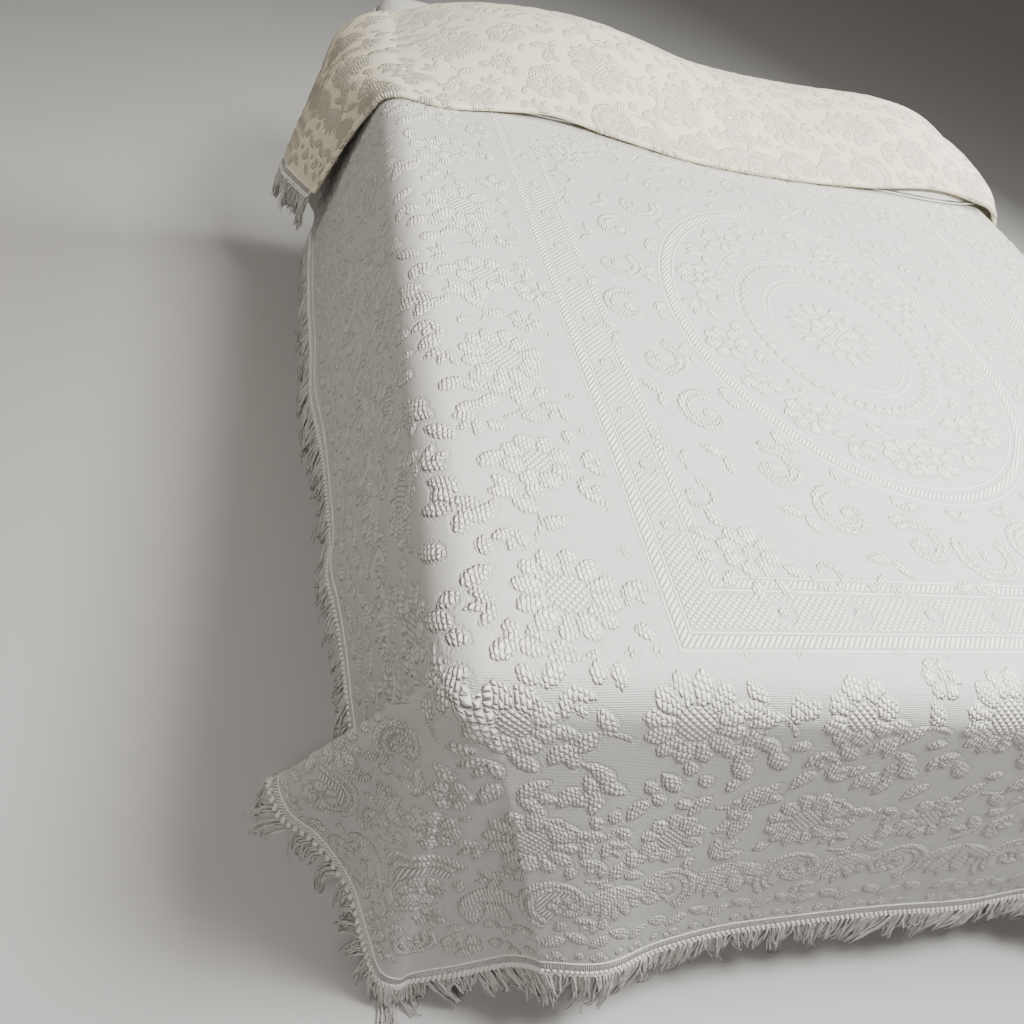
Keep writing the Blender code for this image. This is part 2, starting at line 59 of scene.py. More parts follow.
class Socket:
    """A value inside a material, so that its shader maths is written as plain sums."""

    def __init__(self, tree, socket=None):
        self.tree = tree
        self.socket = socket

    def node(self, kind, settings=None, sockets=None, output=0):
        """A node of any kind, with its settings first and then what goes into its sockets."""
        made = self.tree.nodes.new(kind)
        for name, value in (settings or {}).items():
            setattr(made, name, value)
        for key, value in (sockets or {}).items():
            if isinstance(value, Socket):
                self.tree.links.new(value.socket, made.inputs[key])
            else:
                made.inputs[key].default_value = value
        return Socket(self.tree, made.outputs[output])

    def math(self, operation, *values):
        return self.node("ShaderNodeMath", {"operation": operation}, dict(enumerate(values)))

    def __add__(self, other):
        return self.math("ADD", self, other)

    def __sub__(self, other):
        return self.math("SUBTRACT", self, other)

    def __mul__(self, other):
        return self.math("MULTIPLY", self, other)

    def __rsub__(self, other):
        return self.math("SUBTRACT", other, self)

    __radd__ = __add__
    __rmul__ = __mul__

    def whole(self):
        return self.math("FLOOR", self)

    def wave(self, length):
        """A smooth wave between 0 and 1 that repeats after a length."""
        return self.math("SINE", self * (2 * math.pi / length)) * 0.5 + 0.5

    def between(self, low, high):
        """0 below low, 1 above high, and smooth between them."""
        return self.node("ShaderNodeMapRange", {"interpolation_type": "SMOOTHSTEP"},
                         {"Value": self, "From Min": low, "From Max": high})

    def bulge(self, power=2.0):
        """A rounded hill over each whole step of the value."""
        return 1.0 - self.math("POWER", (self.math("FRACT", self) * 2.0 - 1.0).size(), power)

    def part(self, axis):
        return self.node("ShaderNodeSeparateXYZ", None, {0: self}, axis)

    def parts(self):
        return [self.part(axis) for axis in range(3)]

    def noise(self, scale, detail=2.0):
        """A cloudy value between 0 and 1."""
        return self.node("ShaderNodeTexNoise", None,
                         {"Vector": self, "Scale": scale, "Detail": detail})

    def mix(self, first, second):
        """From the first colour to the second as this value goes from 0 to 1."""
        first, second = [value if isinstance(value, Socket) else (*value, 1.0)
                         for value in (first, second)]
        return self.node("ShaderNodeMix", {"data_type": "RGBA"}, {0: self, 6: first, 7: second}, 2)

    def root(self):
        return self.math("SQRT", self)

    def size(self):
        return self.math("ABSOLUTE", self)

    def larger(self, other):
        return self.math("MAXIMUM", self, other)


def finish(name, build):
    """A material. build takes its tree, and gives the colour, the roughness, and the height of
    the relief with its depth in metres."""
    made = bpy.data.materials.new(name)
    made.use_nodes = True
    tree = made.node_tree
    colour, roughness, height, depth = build(Socket(tree))
    relief = height.node("ShaderNodeBump", None, {"Height": height, "Distance": depth})
    for key, value in (("Base Color", colour), ("Roughness", roughness), ("Normal", relief)):
        tree.links.new(value.socket, tree.nodes["Principled BSDF"].inputs[key])
    return made


def on_object(tree):
    return tree.node("ShaderNodeTexCoord", None, None, "Object")


def floor_paint(tree):
    place = on_object(tree)
    paint = place.noise(0.8, 3.0).mix((0.52, 0.52, 0.515), (0.56, 0.56, 0.555))
    return paint, place.noise(5.0) * 0.1 + 0.6, place.noise(40.0, 4.0), 0.0004


floor.data.materials.append(finish("pale_floor", floor_paint))


def softbox(name, place, aim, size, power, colour):
    """A square lamp over the bed, turned to what it lights."""
    lamp = bpy.data.lights.new(name, "AREA")
    lamp.shape = "SQUARE"
    lamp.size = size
    lamp.energy = power
    lamp.color = colour
    made = bpy.data.objects.new(name, lamp)
    bpy.context.scene.collection.objects.link(made)
    away = Vector(place) - Vector(aim)
    made.location = Vector(place) + Vector(BED_PLACE)
    made.rotation_euler = away.to_track_quat("Z", "Y").to_euler()


softbox("window_light", (2.3, 2.1, 2.2), (0.0, 0.7, 0.6), 1.2, 170.0, (1.0, 0.995, 0.94))
softbox("ceiling_light", (0.25, 0.0, 2.6), (0.15, 0.4, 0.6), 0.8, 120.0, (1.0, 0.98, 0.95))
softbox("front_light", (-1.5, -1.3, 2.7), (-0.85, 0.1, 0.4), 0.5, 24.0, (1.0, 0.95, 0.89))
softbox("side_light", (-2.3, 1.2, 2.0), (-0.95, 0.7, 0.4), 0.4, 13.0, (1.0, 0.90, 0.80))

world = bpy.data.worlds.new("studio")
world.use_nodes = True
world.node_tree.nodes["Background"].inputs["Color"].default_value = (1.0, 0.94, 0.88, 1.0)
world.node_tree.nodes["Background"].inputs["Strength"].default_value = 0.13
bpy.context.scene.world = world

EYE = (-0.9664, -0.4568, 1.4617)
CAMERA_RIGHT = (0.9550, -0.1392, 0.2620)
CAMERA_UP = (-0.0792, 0.7314, 0.6773)
CAMERA_BACK = (-0.2859, -0.6676, 0.6875)
lens = bpy.data.cameras.new("camera")
lens.sensor_width = 36.0
lens.lens = 31.36
lens.clip_start = 0.02
camera = bpy.data.objects.new("camera", lens)
bpy.context.scene.collection.objects.link(camera)
turned = Matrix((CAMERA_RIGHT, CAMERA_UP, CAMERA_BACK)).transposed().to_4x4()
camera.matrix_world = Matrix.Translation(Vector(EYE) + Vector(BED_PLACE)) @ turned
bpy.context.scene.camera = camera

# The plinth: a low box of painted board set back under the base.


def painted_board(tree):
    place = on_object(tree)
    grain = tree.node("ShaderNodeMapping", None, {"Vector": place, "Scale": (6.0, 1.2, 60.0)})
    grain = grain.noise(3.0, 4.0)
    paint = grain.mix((0.050, 0.042, 0.034), (0.085, 0.070, 0.056))
    wear_and_painted_light = place.noise(18.0, 5.0).between(0.58, 0.75)
    return wear_and_painted_light.mix(paint, (0.16, 0.14, 0.12)), grain * 0.2 + 0.45, grain, 0.0006


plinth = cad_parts["plinth"]
plinth.data.materials.clear()
plinth.data.materials.append(finish("painted_plinth", painted_board))

# The bed base: a box covered in a plain grey-brown tweed, over and under in fine threads.
TWEED_PITCH = 0.0022


def tweed(tree):
    place = on_object(tree)
    x, y, z = place.parts()
    over, up = ((x + y) * (1 / TWEED_PITCH)).bulge(), (z * (1 / TWEED_PITCH)).bulge()
    fleck = place.noise(420.0, 3.0).between(0.35, 0.7)
    wear_and_painted_light = place.noise(5.0, 4.0).mix((0.30, 0.285, 0.26), (0.37, 0.35, 0.32))
    return (fleck.mix((0.17, 0.155, 0.14), wear_and_painted_light), fleck * 0.1 + 0.85,
            over * 0.5 + up * 0.5 + fleck * 0.6, 0.0006)


bed_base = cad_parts["bed_base"]
bed_base.data.materials.clear()
bed_base.data.materials.append(finish("base_tweed", tweed))

# The mattress: a spring block in damask ticking, its top, bottom and border quilted, with a
# bound tape edge sewn round at the top and at the bottom of the border.
PLAN_RADIUS = 0.070          # its upright corners
EDGE_RADIUS = 0.050
QUILT_CUTS = 44
QUILT_PITCH, QUILT_SEAM = 0.16, 0.018      # the slanting seams of its top and bottom
BORDER_PITCH, BORDER_SEAM = 0.07, 0.010    # and the level ones of its border
QUILT_TOP = 0.95             # a face that turns up more than this has slanting seams
TAPE_DOWN = 0.045
TAPE_HALF = 0.0045
TAPE_STEPS = 9


def ticking(tree):
    place = on_object(tree)
    x, y, z = place.parts()
    leaf = (x * (1 / 0.045)).bulge() * (y * (1 / 0.07) + z * (1 / 0.07)).bulge()
    damask = leaf.between(0.35, 0.5) * (place.noise(30.0, 2.0) * 0.6 + 0.4)
    warp = ((x + y * 0.7 + z * 0.7) * (1 / 0.0016)).bulge()
    ground = place.noise(2.5, 4.0).between(0.3, 0.9).mix((0.70, 0.69, 0.66), (0.64, 0.625, 0.59))
    return (damask.mix(ground, (0.77, 0.765, 0.745)), 0.78 - damask * 0.25,
            warp * 0.35 + damask * 0.6, 0.0007)


def unit(ways):
    return ways / np.linalg.norm(ways, axis=-1)[..., None]


bpy.ops.object.select_all(action="DESELECT")
bpy.ops.mesh.primitive_cube_add(size=2)
bpy.ops.object.mode_set(mode="EDIT")
bpy.ops.mesh.subdivide(number_cuts=QUILT_CUTS)
bpy.ops.object.mode_set(mode="OBJECT")
mattress = bpy.context.object
mattress.name = "quilted_mattress"
block_middle = (np.array(mattress_high) + np.array(mattress_low)) / 2
block_half = (np.array(mattress_high) - np.array(mattress_low)) / 2
soft = np.array([PLAN_RADIUS, PLAN_RADIUS, EDGE_RADIUS])
places = np.array([v.co for v in mattress.data.vertices]) * block_half
x, y, z = places.T
inner = np.clip(places, soft - block_half, block_half - soft)
way = unit((places - inner) / soft)
from_slant = [np.abs((slant / QUILT_PITCH) % 1 - 0.5) * QUILT_PITCH for slant in (x + y, x - y)]
from_level = np.abs((z / BORDER_PITCH) % 1 - 0.5) * BORDER_PITCH
drawn = np.exp(-np.where(np.abs(way[:, 2]) > QUILT_TOP, np.minimum(*from_slant) / QUILT_SEAM,
                         from_level / BORDER_SEAM) ** 2)
places = inner + way * soft - way * (0.001 + 0.006 * drawn)[:, None] + block_middle
mattress.data.vertices.foreach_set("co", places.ravel())
mattress.data.shade_smooth()
mattress.data.update()
mattress.data.materials.append(finish("mattress_ticking", ticking))
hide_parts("mattress")
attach(mattress, "root")


def mesh_object(name, points, faces, material):
    """A new smooth piece from points and faces."""
    mesh = bpy.data.meshes.new(name)
    mesh.from_pydata([tuple(p) for p in points], [], [tuple(int(i) for i in f) for f in faces])
    mesh.materials.append(material)
    mesh.shade_smooth()
    mesh.update()
    made = bpy.data.objects.new(name, mesh)
    bpy.context.scene.collection.objects.link(made)
    return made


def tape_cloth(tree):
    x, y, z = on_object(tree).parts()
    twill = ((x + y + z * 2.0) * (1 / 0.003)).bulge()
    return twill.mix((0.55, 0.54, 0.51), (0.66, 0.65, 0.62)), twill * 0.1 + 0.75, twill, 0.0005


def ring_faces(first, count, sides, closed=False):
    """Faces that join rings of points, one ring to the next."""
    faces = []
    for k in range(count if closed else count - 1):
        here, there = first + k * sides, first + (k + 1) % count * sides
        for s in range(sides):
            n = (s + 1) % sides
            faces.append((here + s, there + s, there + n, here + n))
    return faces


def tubes(paths, radii, sides, beside=(0.0, 0.0, 1.0), closed=False):
    """Points and faces of round tubes along paths of like length, with radii from end to end."""
    paths = np.array(paths)
    count, steps = paths.shape[:2]
    along = np.roll(paths, -1, 1) - np.roll(paths, 1, 1) if closed else np.gradient(paths, axis=1)
    along = unit(along)
    aside = np.cross(along, beside)
    aside /= np.maximum(np.linalg.norm(aside, axis=-1), 1e-6)[..., None]
    above = np.cross(aside, along)
    radius = np.interp(np.linspace(0, 1, steps), np.linspace(0, 1, len(radii)), radii)[:, None]
    turns = [2 * math.pi * s / sides for s in range(sides)]
    rings = [paths + (aside * math.cos(turn) + above * math.sin(turn)) * radius for turn in turns]
    faces = []
    for first in range(0, count * steps * sides, steps * sides):
        faces += ring_faces(first, steps, sides, closed)
        if not closed:
            last = first + (steps - 1) * sides
            faces.append([first + s for s in range(sides)])
            faces.append([last + s for s in reversed(range(sides))])
    return np.stack(rings, 2).reshape(-1, 3), faces


tape_outlines = []
for level in (mattress_low.z + TAPE_DOWN, mattress_high.z - TAPE_DOWN):
    outline = []
    for corner_x, corner_y, start in ((1, 1, 0.0), (-1, 1, 0.25), (-1, -1, 0.5), (1, -1, 0.75)):
        for k in range(TAPE_STEPS):
            turn = 2 * math.pi * (start + 0.25 * k / (TAPE_STEPS - 1))
            outline.append((block_middle[0] + corner_x * (block_half[0] - PLAN_RADIUS)
                            + PLAN_RADIUS * math.cos(turn),
                            block_middle[1] + corner_y * (block_half[1] - PLAN_RADIUS)
                            + PLAN_RADIUS * math.sin(turn), level))
    tape_outlines.append(outline)
tape = mesh_object("mattress_tape_edge", *tubes(tape_outlines, [TAPE_HALF], 8, closed=True),
                   finish("tape_edge", tape_cloth))
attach(tape, "root")

# The pillows: two plain pillows in cotton ticking with a corded seam round the edge. They lie
# between the two layers of the bedspread, and its weight presses them flat.


def pillow_cotton(tree):
    place = on_object(tree)
    x, y, _ = place.parts()
    weave = (x * (1 / 0.0012)).bulge() * 0.5 + (y * (1 / 0.0012)).bulge() * 0.5
    soft = place.noise(14.0, 3.0)
    return (place.noise(3.0).mix((0.78, 0.77, 0.74), (0.84, 0.83, 0.81)), soft * 0.1 + 0.82,
            weave * 0.2 + soft * 1.5, 0.001)


PILLOW_CORNER = 3.2          # how square its outline is
SEAM_HALF = 0.0022
SEAM_STEP = 0.34             # of the seam's points, in points of its CAD outline
CREASE_HIGH = 0.0015
pillow_ticking = finish("pillow_cotton", pillow_cotton)
for name in ("pillow_left", "pillow_right"):
    pillow = bpy.data.objects.new("plump_" + name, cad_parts[name].data.copy())
    bpy.context.scene.collection.objects.link(pillow)
    bpy.ops.object.select_all(action="DESELECT")
    pillow.select_set(True)
    bpy.context.view_layer.objects.active = pillow
    bpy.ops.object.mode_set(mode="EDIT")
    bpy.ops.mesh.select_all(action="SELECT")
    bpy.ops.mesh.remove_doubles(threshold=0.0002)
    bpy.ops.mesh.tris_convert_to_quads()
    bpy.ops.object.mode_set(mode="OBJECT")
    low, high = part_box(name)
    middle, half = (low + high) / 2, (high - low) / 2
    places = np.array([v.co for v in pillow.data.vertices])
    off = np.abs(places[:, :2] - np.array(middle)[:2]) / np.array(half)[:2]
    seam = places[(off ** PILLOW_CORNER).sum(1) > 0.99]
    turn = np.arctan2((seam[:, 1] - middle.y) / half.y, (seam[:, 0] - middle.x) / half.x)
    seam = seam[np.argsort(turn)]
    at = np.arange(0, len(seam), SEAM_STEP)
    seam = np.stack([np.interp(at, np.arange(len(seam) + 1), np.append(line, line[0]))
                     for line in seam.T], -1)
    for step in range(6):
        seam = (np.roll(seam, 1, 0) + 2 * seam + np.roll(seam, -1, 0)) / 4

    finer = pillow.modifiers.new("softer", "SUBSURF")
    finer.levels = finer.render_levels = 2
    bpy.ops.object.modifier_apply(modifier="softer")
    places = np.array([v.co for v in pillow.data.vertices])
    normals = np.array([v.normal for v in pillow.data.vertices])
    x, y, _ = (places - np.array(middle)).T
    edge = np.clip(np.maximum(np.abs(x) / half.x, np.abs(y) / half.y), 0, 1)
    creases = np.sin(70 * x + 9 * np.sin(14 * y)) * np.cos(55 * y + 5 * np.sin(17 * x))
    places -= normals * (CREASE_HIGH * (1 + creases) * edge ** 4 + 0.001)[:, None]
    pillow.data.vertices.foreach_set("co", places.ravel())
    pillow.data.materials.clear()
    pillow.data.materials.append(pillow_ticking)
    pillow.data.shade_smooth()
    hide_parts(name)
    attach(pillow, "root")
    cord = mesh_object(name + "_seam_cord", *tubes([seam], [SEAM_HALF], 6, closed=True),
                       pillow_ticking)
    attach(cord, "root")

# The bedspread: one loom-width of white cotton matelasse, raised in soft puffs where its two
# cloths aren't stitched together. It lies over the bed and falls over both sides and the foot.
# Its head end is folded back over the pillows, so that the cream back of the cloth shows there.
BED_HEIGHT = 0.74
BED_WIDTH = 1.52
SEAT_GAP = 0.0003
CLOTH_WIDTH = 2.41
CLOTH_LENGTH = 3.05
CLOTH_THICK = 0.003
CORNER_ROUND = 0.13
CORNER_START = CLOTH_WIDTH / 2 - CORNER_ROUND
CORNER_LENGTH = CORNER_ROUND * math.pi / 2
SKEW = math.radians(2.2)
MIDDLE_Y = 0.74
MIDDLE_B = 1.251
TURN_RADIUS = 0.050
TOP_LEVEL = BED_HEIGHT + SEAT_GAP + CLOTH_THICK / 2
FALL_CLEAR = 0.014
SIDE_INSET = BED_WIDTH / 2 + FALL_CLEAR - TURN_RADIUS
FOOT_INSET = TURN_RADIUS - FALL_CLEAR
TURN_STEPS = 24
LEAST_DOWN = 0.1
FOLD_LENGTH = 0.12
FOLD_REACH = 0.03
PILLOW_HEIGHT = 0.108
PILLOW_BULGE = 0.01
BULGE_GROWTH = 1.4
OVER_TURN = 0.12
OVER_SHIFT = 0.09
UPPER_LAYER = 0.013
TUCKED_LAYER = 0.005
TUCK_LENGTH = 0.03
ROLL_RADIUS = (UPPER_LAYER - TUCKED_LAYER) / 2
ROLL_START = CLOTH_LENGTH - TUCK_LENGTH - math.pi * ROLL_RADIUS
# How the cloth hangs, read off the rim of the bed. The station runs from the head down
# one side (-y), round the first foot corner (0 to 1), along the foot (1 to 2.52), round
# the second (2.52 to 3.52) and up the other side. out_x and out_y say how far the cloth
# swings out for each metre that it hangs.
SIDE_1 = 0.0
FOOT_1 = 1.0
FOOT_2 = 2.52
SIDE_2 = 3.52
HANG = [
    # station, out_x, out_y
    (-2.10, -0.17, 0.00), (-1.74, -0.175, 0.00), (-1.50, -0.19, 0.00), (-1.27, -0.19, 0.00),
    (-1.10, -0.18, 0.01), (-0.95, -0.18, 0.00), (-0.80, -0.14, 0.02), (-0.64, -0.115, 0.02),
    (-0.54, -0.105, 0.01), (-0.47, -0.12, 0.02), (-0.38, -0.09, 0.04), (-0.28, -0.065, 0.06),
    (-0.18, -0.05, 0.09), (-0.08, -0.03, 0.09),
    # the flared corner: a valley, a tall flute, a valley, and the corner of the cloth
    (0.02, -0.005, 0.05), (0.10, -0.05, 0.09), (0.18, -0.17, 0.19), (0.25, -0.285, 0.235),
    (0.32, -0.24, 0.165), (0.38, -0.13, 0.125), (0.43, -0.045, 0.05), (0.49, 0.005, -0.05),
    (0.55, 0.035, -0.10), (0.605, 0.07, -0.105), (0.66, 0.09, -0.095), (0.76, 0.19, -0.11),
    (0.88, 0.29, -0.13),
    # the foot
    (1.00, 0.34, -0.175), (1.12, 0.295, -0.19), (1.26, 0.225, -0.14), (1.40, 0.18, -0.105),
    (1.56, 0.14, -0.09), (1.74, 0.10, -0.08), (1.95, 0.05, -0.08), (2.15, 0.00, -0.06),
    (2.32, -0.04, -0.12), (2.50, -0.05, -0.24),
    # the other corner: one broad flute at its tip
    (2.62, -0.03, -0.17), (2.74, 0.02, -0.07), (2.83, 0.08, -0.18), (2.92, 0.20, -0.31),
    (3.02, 0.27, -0.27), (3.12, 0.31, -0.19), (3.21, 0.18, -0.07), (3.30, 0.07, -0.01),
    (3.42, 0.16, 0.04), (3.54, 0.22, 0.07),
    # the other side
    (3.68, 0.16, 0.05), (3.88, 0.10, 0.02), (4.10, 0.08, 0.00), (4.40, 0.12, -0.01),
    (4.75, 0.09, 0.00), (5.15, 0.12, 0.00), (5.62, 0.10, 0.00),
]
# The same for the part that is folded back over the pillows
HANG_OVER = [
    # station, out_x, out_y
    (-2.00, -0.18, 0.15), (-1.80, -0.21, 0.22), (-1.62, -0.235, 0.30), (-1.48, -0.25, 0.38),
    (-1.36, -0.26, 0.46), (-1.20, -0.26, 0.50), (4.70, 0.17, 0.15), (4.86, 0.20, 0.10),
    (5.05, 0.24, 0.05), (5.25, 0.20, 0.00), (5.60, 0.18, 0.00),
]
# The pillows under the cloth, across the bed
HUMP_ACROSS = [
    # x, share of the full height
    (-0.94, 0.0), (-0.81, 0.0), (-0.74, 0.12), (-0.66, 0.42), (-0.53, 0.80), (-0.40, 0.98),
    (-0.28, 1.0), (-0.17, 0.88), (0.00, 0.62), (0.17, 0.55), (0.36, 0.74), (0.52, 0.90),
    (0.63, 0.80), (0.72, 0.45), (0.80, 0.10), (0.94, 0.0),
]
# and along it
HUMP_ALONG = [
    # y, height
    (1.20, 0.0), (1.34, 0.0), (1.39, 0.006), (1.44, 0.030), (1.50, 0.066), (1.58, 0.096),
    (1.66, PILLOW_HEIGHT), (1.73, 0.102), (1.80, 0.080), (1.86, 0.052), (1.92, 0.030), (2.05, 0.02),
]
# The line where the cloth is folded back
FOLD_LINE = [
    # x, y
    (-1.25, 1.72), (-0.85, 1.725), (-0.70, 1.76), (-0.55, 1.81), (-0.30, 1.85), (1.25, 1.85),
]
# The front edge of the folded-back part
FRONT_EDGE = [
    # x, y
    (-1.25, 1.345), (-1.00, 1.375), (-0.86, 1.36), (-0.74, 1.345), (-0.62, 1.38), (-0.50, 1.40),
    (-0.37, 1.375), (-0.20, 1.34), (0.04, 1.35), (0.27, 1.39), (0.50, 1.43), (0.75, 1.42),
    (1.25, 1.41),
]


def smooth(rows, at):
    """The columns after the first, read at a place on a smooth line through the rows."""
    table = np.array(rows, float)
    key, value = table[:, 0], table[:, 1:]
    slope = np.gradient(value, key, axis=0)
    at = np.clip(at, key[0], key[-1])
    i = np.clip(np.searchsorted(key, at, side="right") - 1, 0, len(key) - 2)
    step = key[i + 1] - key[i]
    s = ((at - key[i]) / step)[..., None]
    step = step[..., None]
    return ((1 + 2 * s) * (1 - s) ** 2 * value[i] + s * (1 - s) ** 2 * step * slope[i]
            + s * s * (3 - 2 * s) * value[i + 1] + s * s * (s - 1) * step * slope[i + 1])


def hump(x, y):
    """Height that the pillows add under the folded-back cloth."""
    return smooth(HUMP_ACROSS, x)[..., 0] * smooth(HUMP_ALONG, y)[..., 0]


def laid(a, b):
    """Where a point of the flat cloth lies over the bed before its edges fall."""
    x = a * np.cos(SKEW) - (b - MIDDLE_B) * np.sin(SKEW)
    y = MIDDLE_Y + a * np.sin(SKEW) + (b - MIDDLE_B) * np.cos(SKEW)
    return x, y


def draped(a, b, over):
    """The middle of one layer: on the mattress for over = 0, on the pillows for 1."""
    x, y = laid(a, b)
    share = over * smooth(HUMP_ALONG, y)[..., 0] / PILLOW_HEIGHT
    share = np.clip(BULGE_GROWTH * share, 0, 1)
    inset = SIDE_INSET + PILLOW_BULGE * share
    radius = TURN_RADIUS + (OVER_TURN - TURN_RADIUS) * share
    near_x = np.clip(x, -inset, inset)
    near_y = np.maximum(y, FOOT_INSET)
    dx, dy = x - near_x, y - near_y
    hanging = np.hypot(dx, dy)
    safe = np.maximum(hanging, 1e-9)
    level = np.stack([dx / safe, dy / safe, 0 * hanging], -1)

    corner = np.arctan2(-dy, np.abs(dx) + 1e-12) / (np.pi / 2)
    beside = near_y > FOOT_INSET + 1e-9
    left = np.where(beside, SIDE_1 - (y - FOOT_INSET), SIDE_1 + corner)
    right = np.where(beside, SIDE_2 + (y - FOOT_INSET), SIDE_2 - corner)
    foot = FOOT_1 + (x + SIDE_INSET) * (FOOT_2 - FOOT_1) / (2 * SIDE_INSET)
    station = np.where(x < -inset, left, np.where(x > inset, right, foot))
    out = smooth(HANG, station)
    out = out + over[..., None] * (smooth(HANG_OVER, station) - out)
    down = -np.sqrt(np.maximum(1 - (out ** 2).sum(-1), LEAST_DOWN ** 2))
    fall = np.concatenate([out, down[..., None]], -1)

    # from level to the fall along an arc of the turn radius, in small steps
    angle = np.arccos(np.clip((level * fall).sum(-1), -0.99, 0.99))
    point = np.stack([near_x, near_y, TOP_LEVEL + over * hump(near_x, near_y)], -1)
    for i in range(TURN_STEPS):
        done = np.clip((i + 0.5) * hanging / TURN_STEPS / (radius * angle), 0, 1)
        heading = (np.sin((1 - done) * angle)[..., None] * level
                   + np.sin(done * angle)[..., None] * fall) / np.sin(angle)[..., None]
        point = point + heading * (hanging / TURN_STEPS)[..., None]
    return point


def facing(a, b, over):
    """The direction out of the cloth on that layer."""
    near = 0.002
    across = draped(a + near, b, over) - draped(a - near, b, over)
    along = draped(a, b + near, over) - draped(a, b - near, over)
    return unit(np.cross(across, along))


def across_bed(rows, a):
    """Distance from the foot hem at which the cloth meets a line over the bed."""
    x, _ = laid(a, MIDDLE_B + rows[0][1] - MIDDLE_Y)
    return MIDDLE_B + smooth(rows, x)[..., 0] - MIDDLE_Y - a * np.sin(SKEW)


def cloth(a, b):
    """The middle of the cloth for flat places a (across) and b (from the foot hem)."""
    a, b = np.broadcast_arrays(np.asarray(a, float), np.asarray(b, float))
    fold = across_bed(FOLD_LINE, a)
    front = across_bed(FRONT_EDGE, a)
    u = np.clip((b - fold) / FOLD_LENGTH, 0, 1)
    over = u * u * (3 - 2 * u)
    over_start = fold + FOLD_LENGTH
    v = np.clip((b - over_start) / (ROLL_START - over_start), 0, 1)
    roll = np.clip((b - ROLL_START) / ROLL_RADIUS, 0, np.pi)
    below = np.where(b < over_start,
                     np.minimum(b, fold) + FOLD_REACH * np.sin(np.pi * u),
                     fold + (front - fold) * v)
    below = below - ROLL_RADIUS * np.sin(roll) + np.maximum(b - CLOTH_LENGTH + TUCK_LENGTH, 0)
    lift = UPPER_LAYER * over - ROLL_RADIUS * (1 - np.cos(roll))
    a = a + OVER_SHIFT * v
    return draped(a, below, over) + facing(a, below, over) * lift[..., None]


def trimmed(a, b):
    """A place on the square-cut cloth, moved so that the two foot corners are round."""
    qx = (np.abs(a) - CORNER_START) / CORNER_ROUND
    qy = (CORNER_ROUND - b) / CORNER_ROUND
    squeeze = np.maximum(qx, qy) / np.maximum(np.hypot(qx, qy), 1e-9)
    squeeze = np.where((qx > 0) & (qy > 0), squeeze, 1)
    moved_a = np.sign(a) * (CORNER_START + qx * squeeze * CORNER_ROUND)
    return moved_a, CORNER_ROUND - qy * squeeze * CORNER_ROUND


# The woven pattern, in flat places: x from the middle line to either side, and q from the middle
# of the pattern, below 0 towards the foot. Each kind of figure has an array that says, for each
# point of the cloth's grid, how far inside such a figure it lies. Puffs and petals are two kinds
# of the same raised cloth, so that the seam between two that touch stays sharp.
FRAME_X = 0.529              # the lattice frame's outer line
FRAME_Q = 0.668
SIDE_SHRINK = 1.28           # the frame's bands are this much narrower along the sides
DIAMOND_PITCH = 0.107
EDGE_REACH = 0.008
KINDS = ("puff", "petal", "twill", "lattice", "heart", "bare")
UNIT = 0.42                  # length of one repeat of the border


def lines(*runs):
    """Places along the cloth: each run is a start, an end and a count."""
    places = [np.linspace(start, end, count, endpoint=False) for start, end, count in runs]
    return np.concatenate(places + [[runs[-1][1]]])


HALF_WIDTH = CLOTH_WIDTH / 2
TOP_SIDE = 0.70
FOOT_LINE = MIDDLE_B - MIDDLE_Y
HEAD_LINE = MIDDLE_B + 1.85 - MIDDLE_Y
COARSE = 4                   # lines of the fine face to one line of the plain face
LEFT_LINES, TOP_LINES, RIGHT_LINES = 132, 266, 64
FOOT_LINES, BED_LINES, OVER_LINES = 136, 338, 108
across_lines = lines((-HALF_WIDTH, -TOP_SIDE, LEFT_LINES), (-TOP_SIDE, TOP_SIDE, TOP_LINES),
                     (TOP_SIDE, HALF_WIDTH, RIGHT_LINES))
along_lines = lines((0, FOOT_LINE, FOOT_LINES), (FOOT_LINE, HEAD_LINE, BED_LINES),
                    (HEAD_LINE, ROLL_START, OVER_LINES - 12), (ROLL_START, CLOTH_LENGTH, 12))
flat_a, flat_b = trimmed(*np.meshgrid(across_lines, along_lines))


def evened(a, b):
    """Places for the pattern, turned round each foot corner so that no flute squeezes it."""
    x, y = laid(a, b)
    beside, before = np.abs(x) - SIDE_INSET, FOOT_INSET - y
    for side, start, end in ((-1, SIDE_1, FOOT_1), (1, SIDE_2, FOOT_2)):
        share = np.linspace(0, 1, 200)
        fall = smooth(HANG, start + (end - start) * share)
        fall = np.concatenate([fall, np.sqrt(1 - (fall ** 2).sum(-1))[:, None]], -1)
        run = np.append(0, np.cumsum(np.linalg.norm(np.diff(fall, axis=0), axis=1)))
        turn = np.interp(np.arctan2(before, beside) / (np.pi / 2), share, run / run[-1]) * np.pi / 2
        far = np.hypot(beside, before)
        there = (beside > 0) & (before > 0) & (np.sign(x) == side)
        x = np.where(there, side * (SIDE_INSET + far * np.cos(turn)), x)
        y = np.where(there, FOOT_INSET - far * np.sin(turn), y)
    return (x * np.cos(SKEW) + (y - MIDDLE_Y) * np.sin(SKEW),
            MIDDLE_B + (y - MIDDLE_Y) * np.cos(SKEW) - x * np.sin(SKEW))


pattern_a, pattern_b = evened(flat_a, flat_b)
place_x = np.abs(pattern_a)
place_q = pattern_b - MIDDLE_B
figures = {kind: np.full(flat_a.shape, -EDGE_REACH) for kind in KINDS}


def rows_near(q, reach):
    """The rows of the grid that can hold a figure there, also round the foot corners."""
    slack = reach + (0.30 if q < -0.45 else 0.04)
    return slice(*np.searchsorted(along_lines, (q + MIDDLE_B - slack, q + MIDDLE_B + slack)))


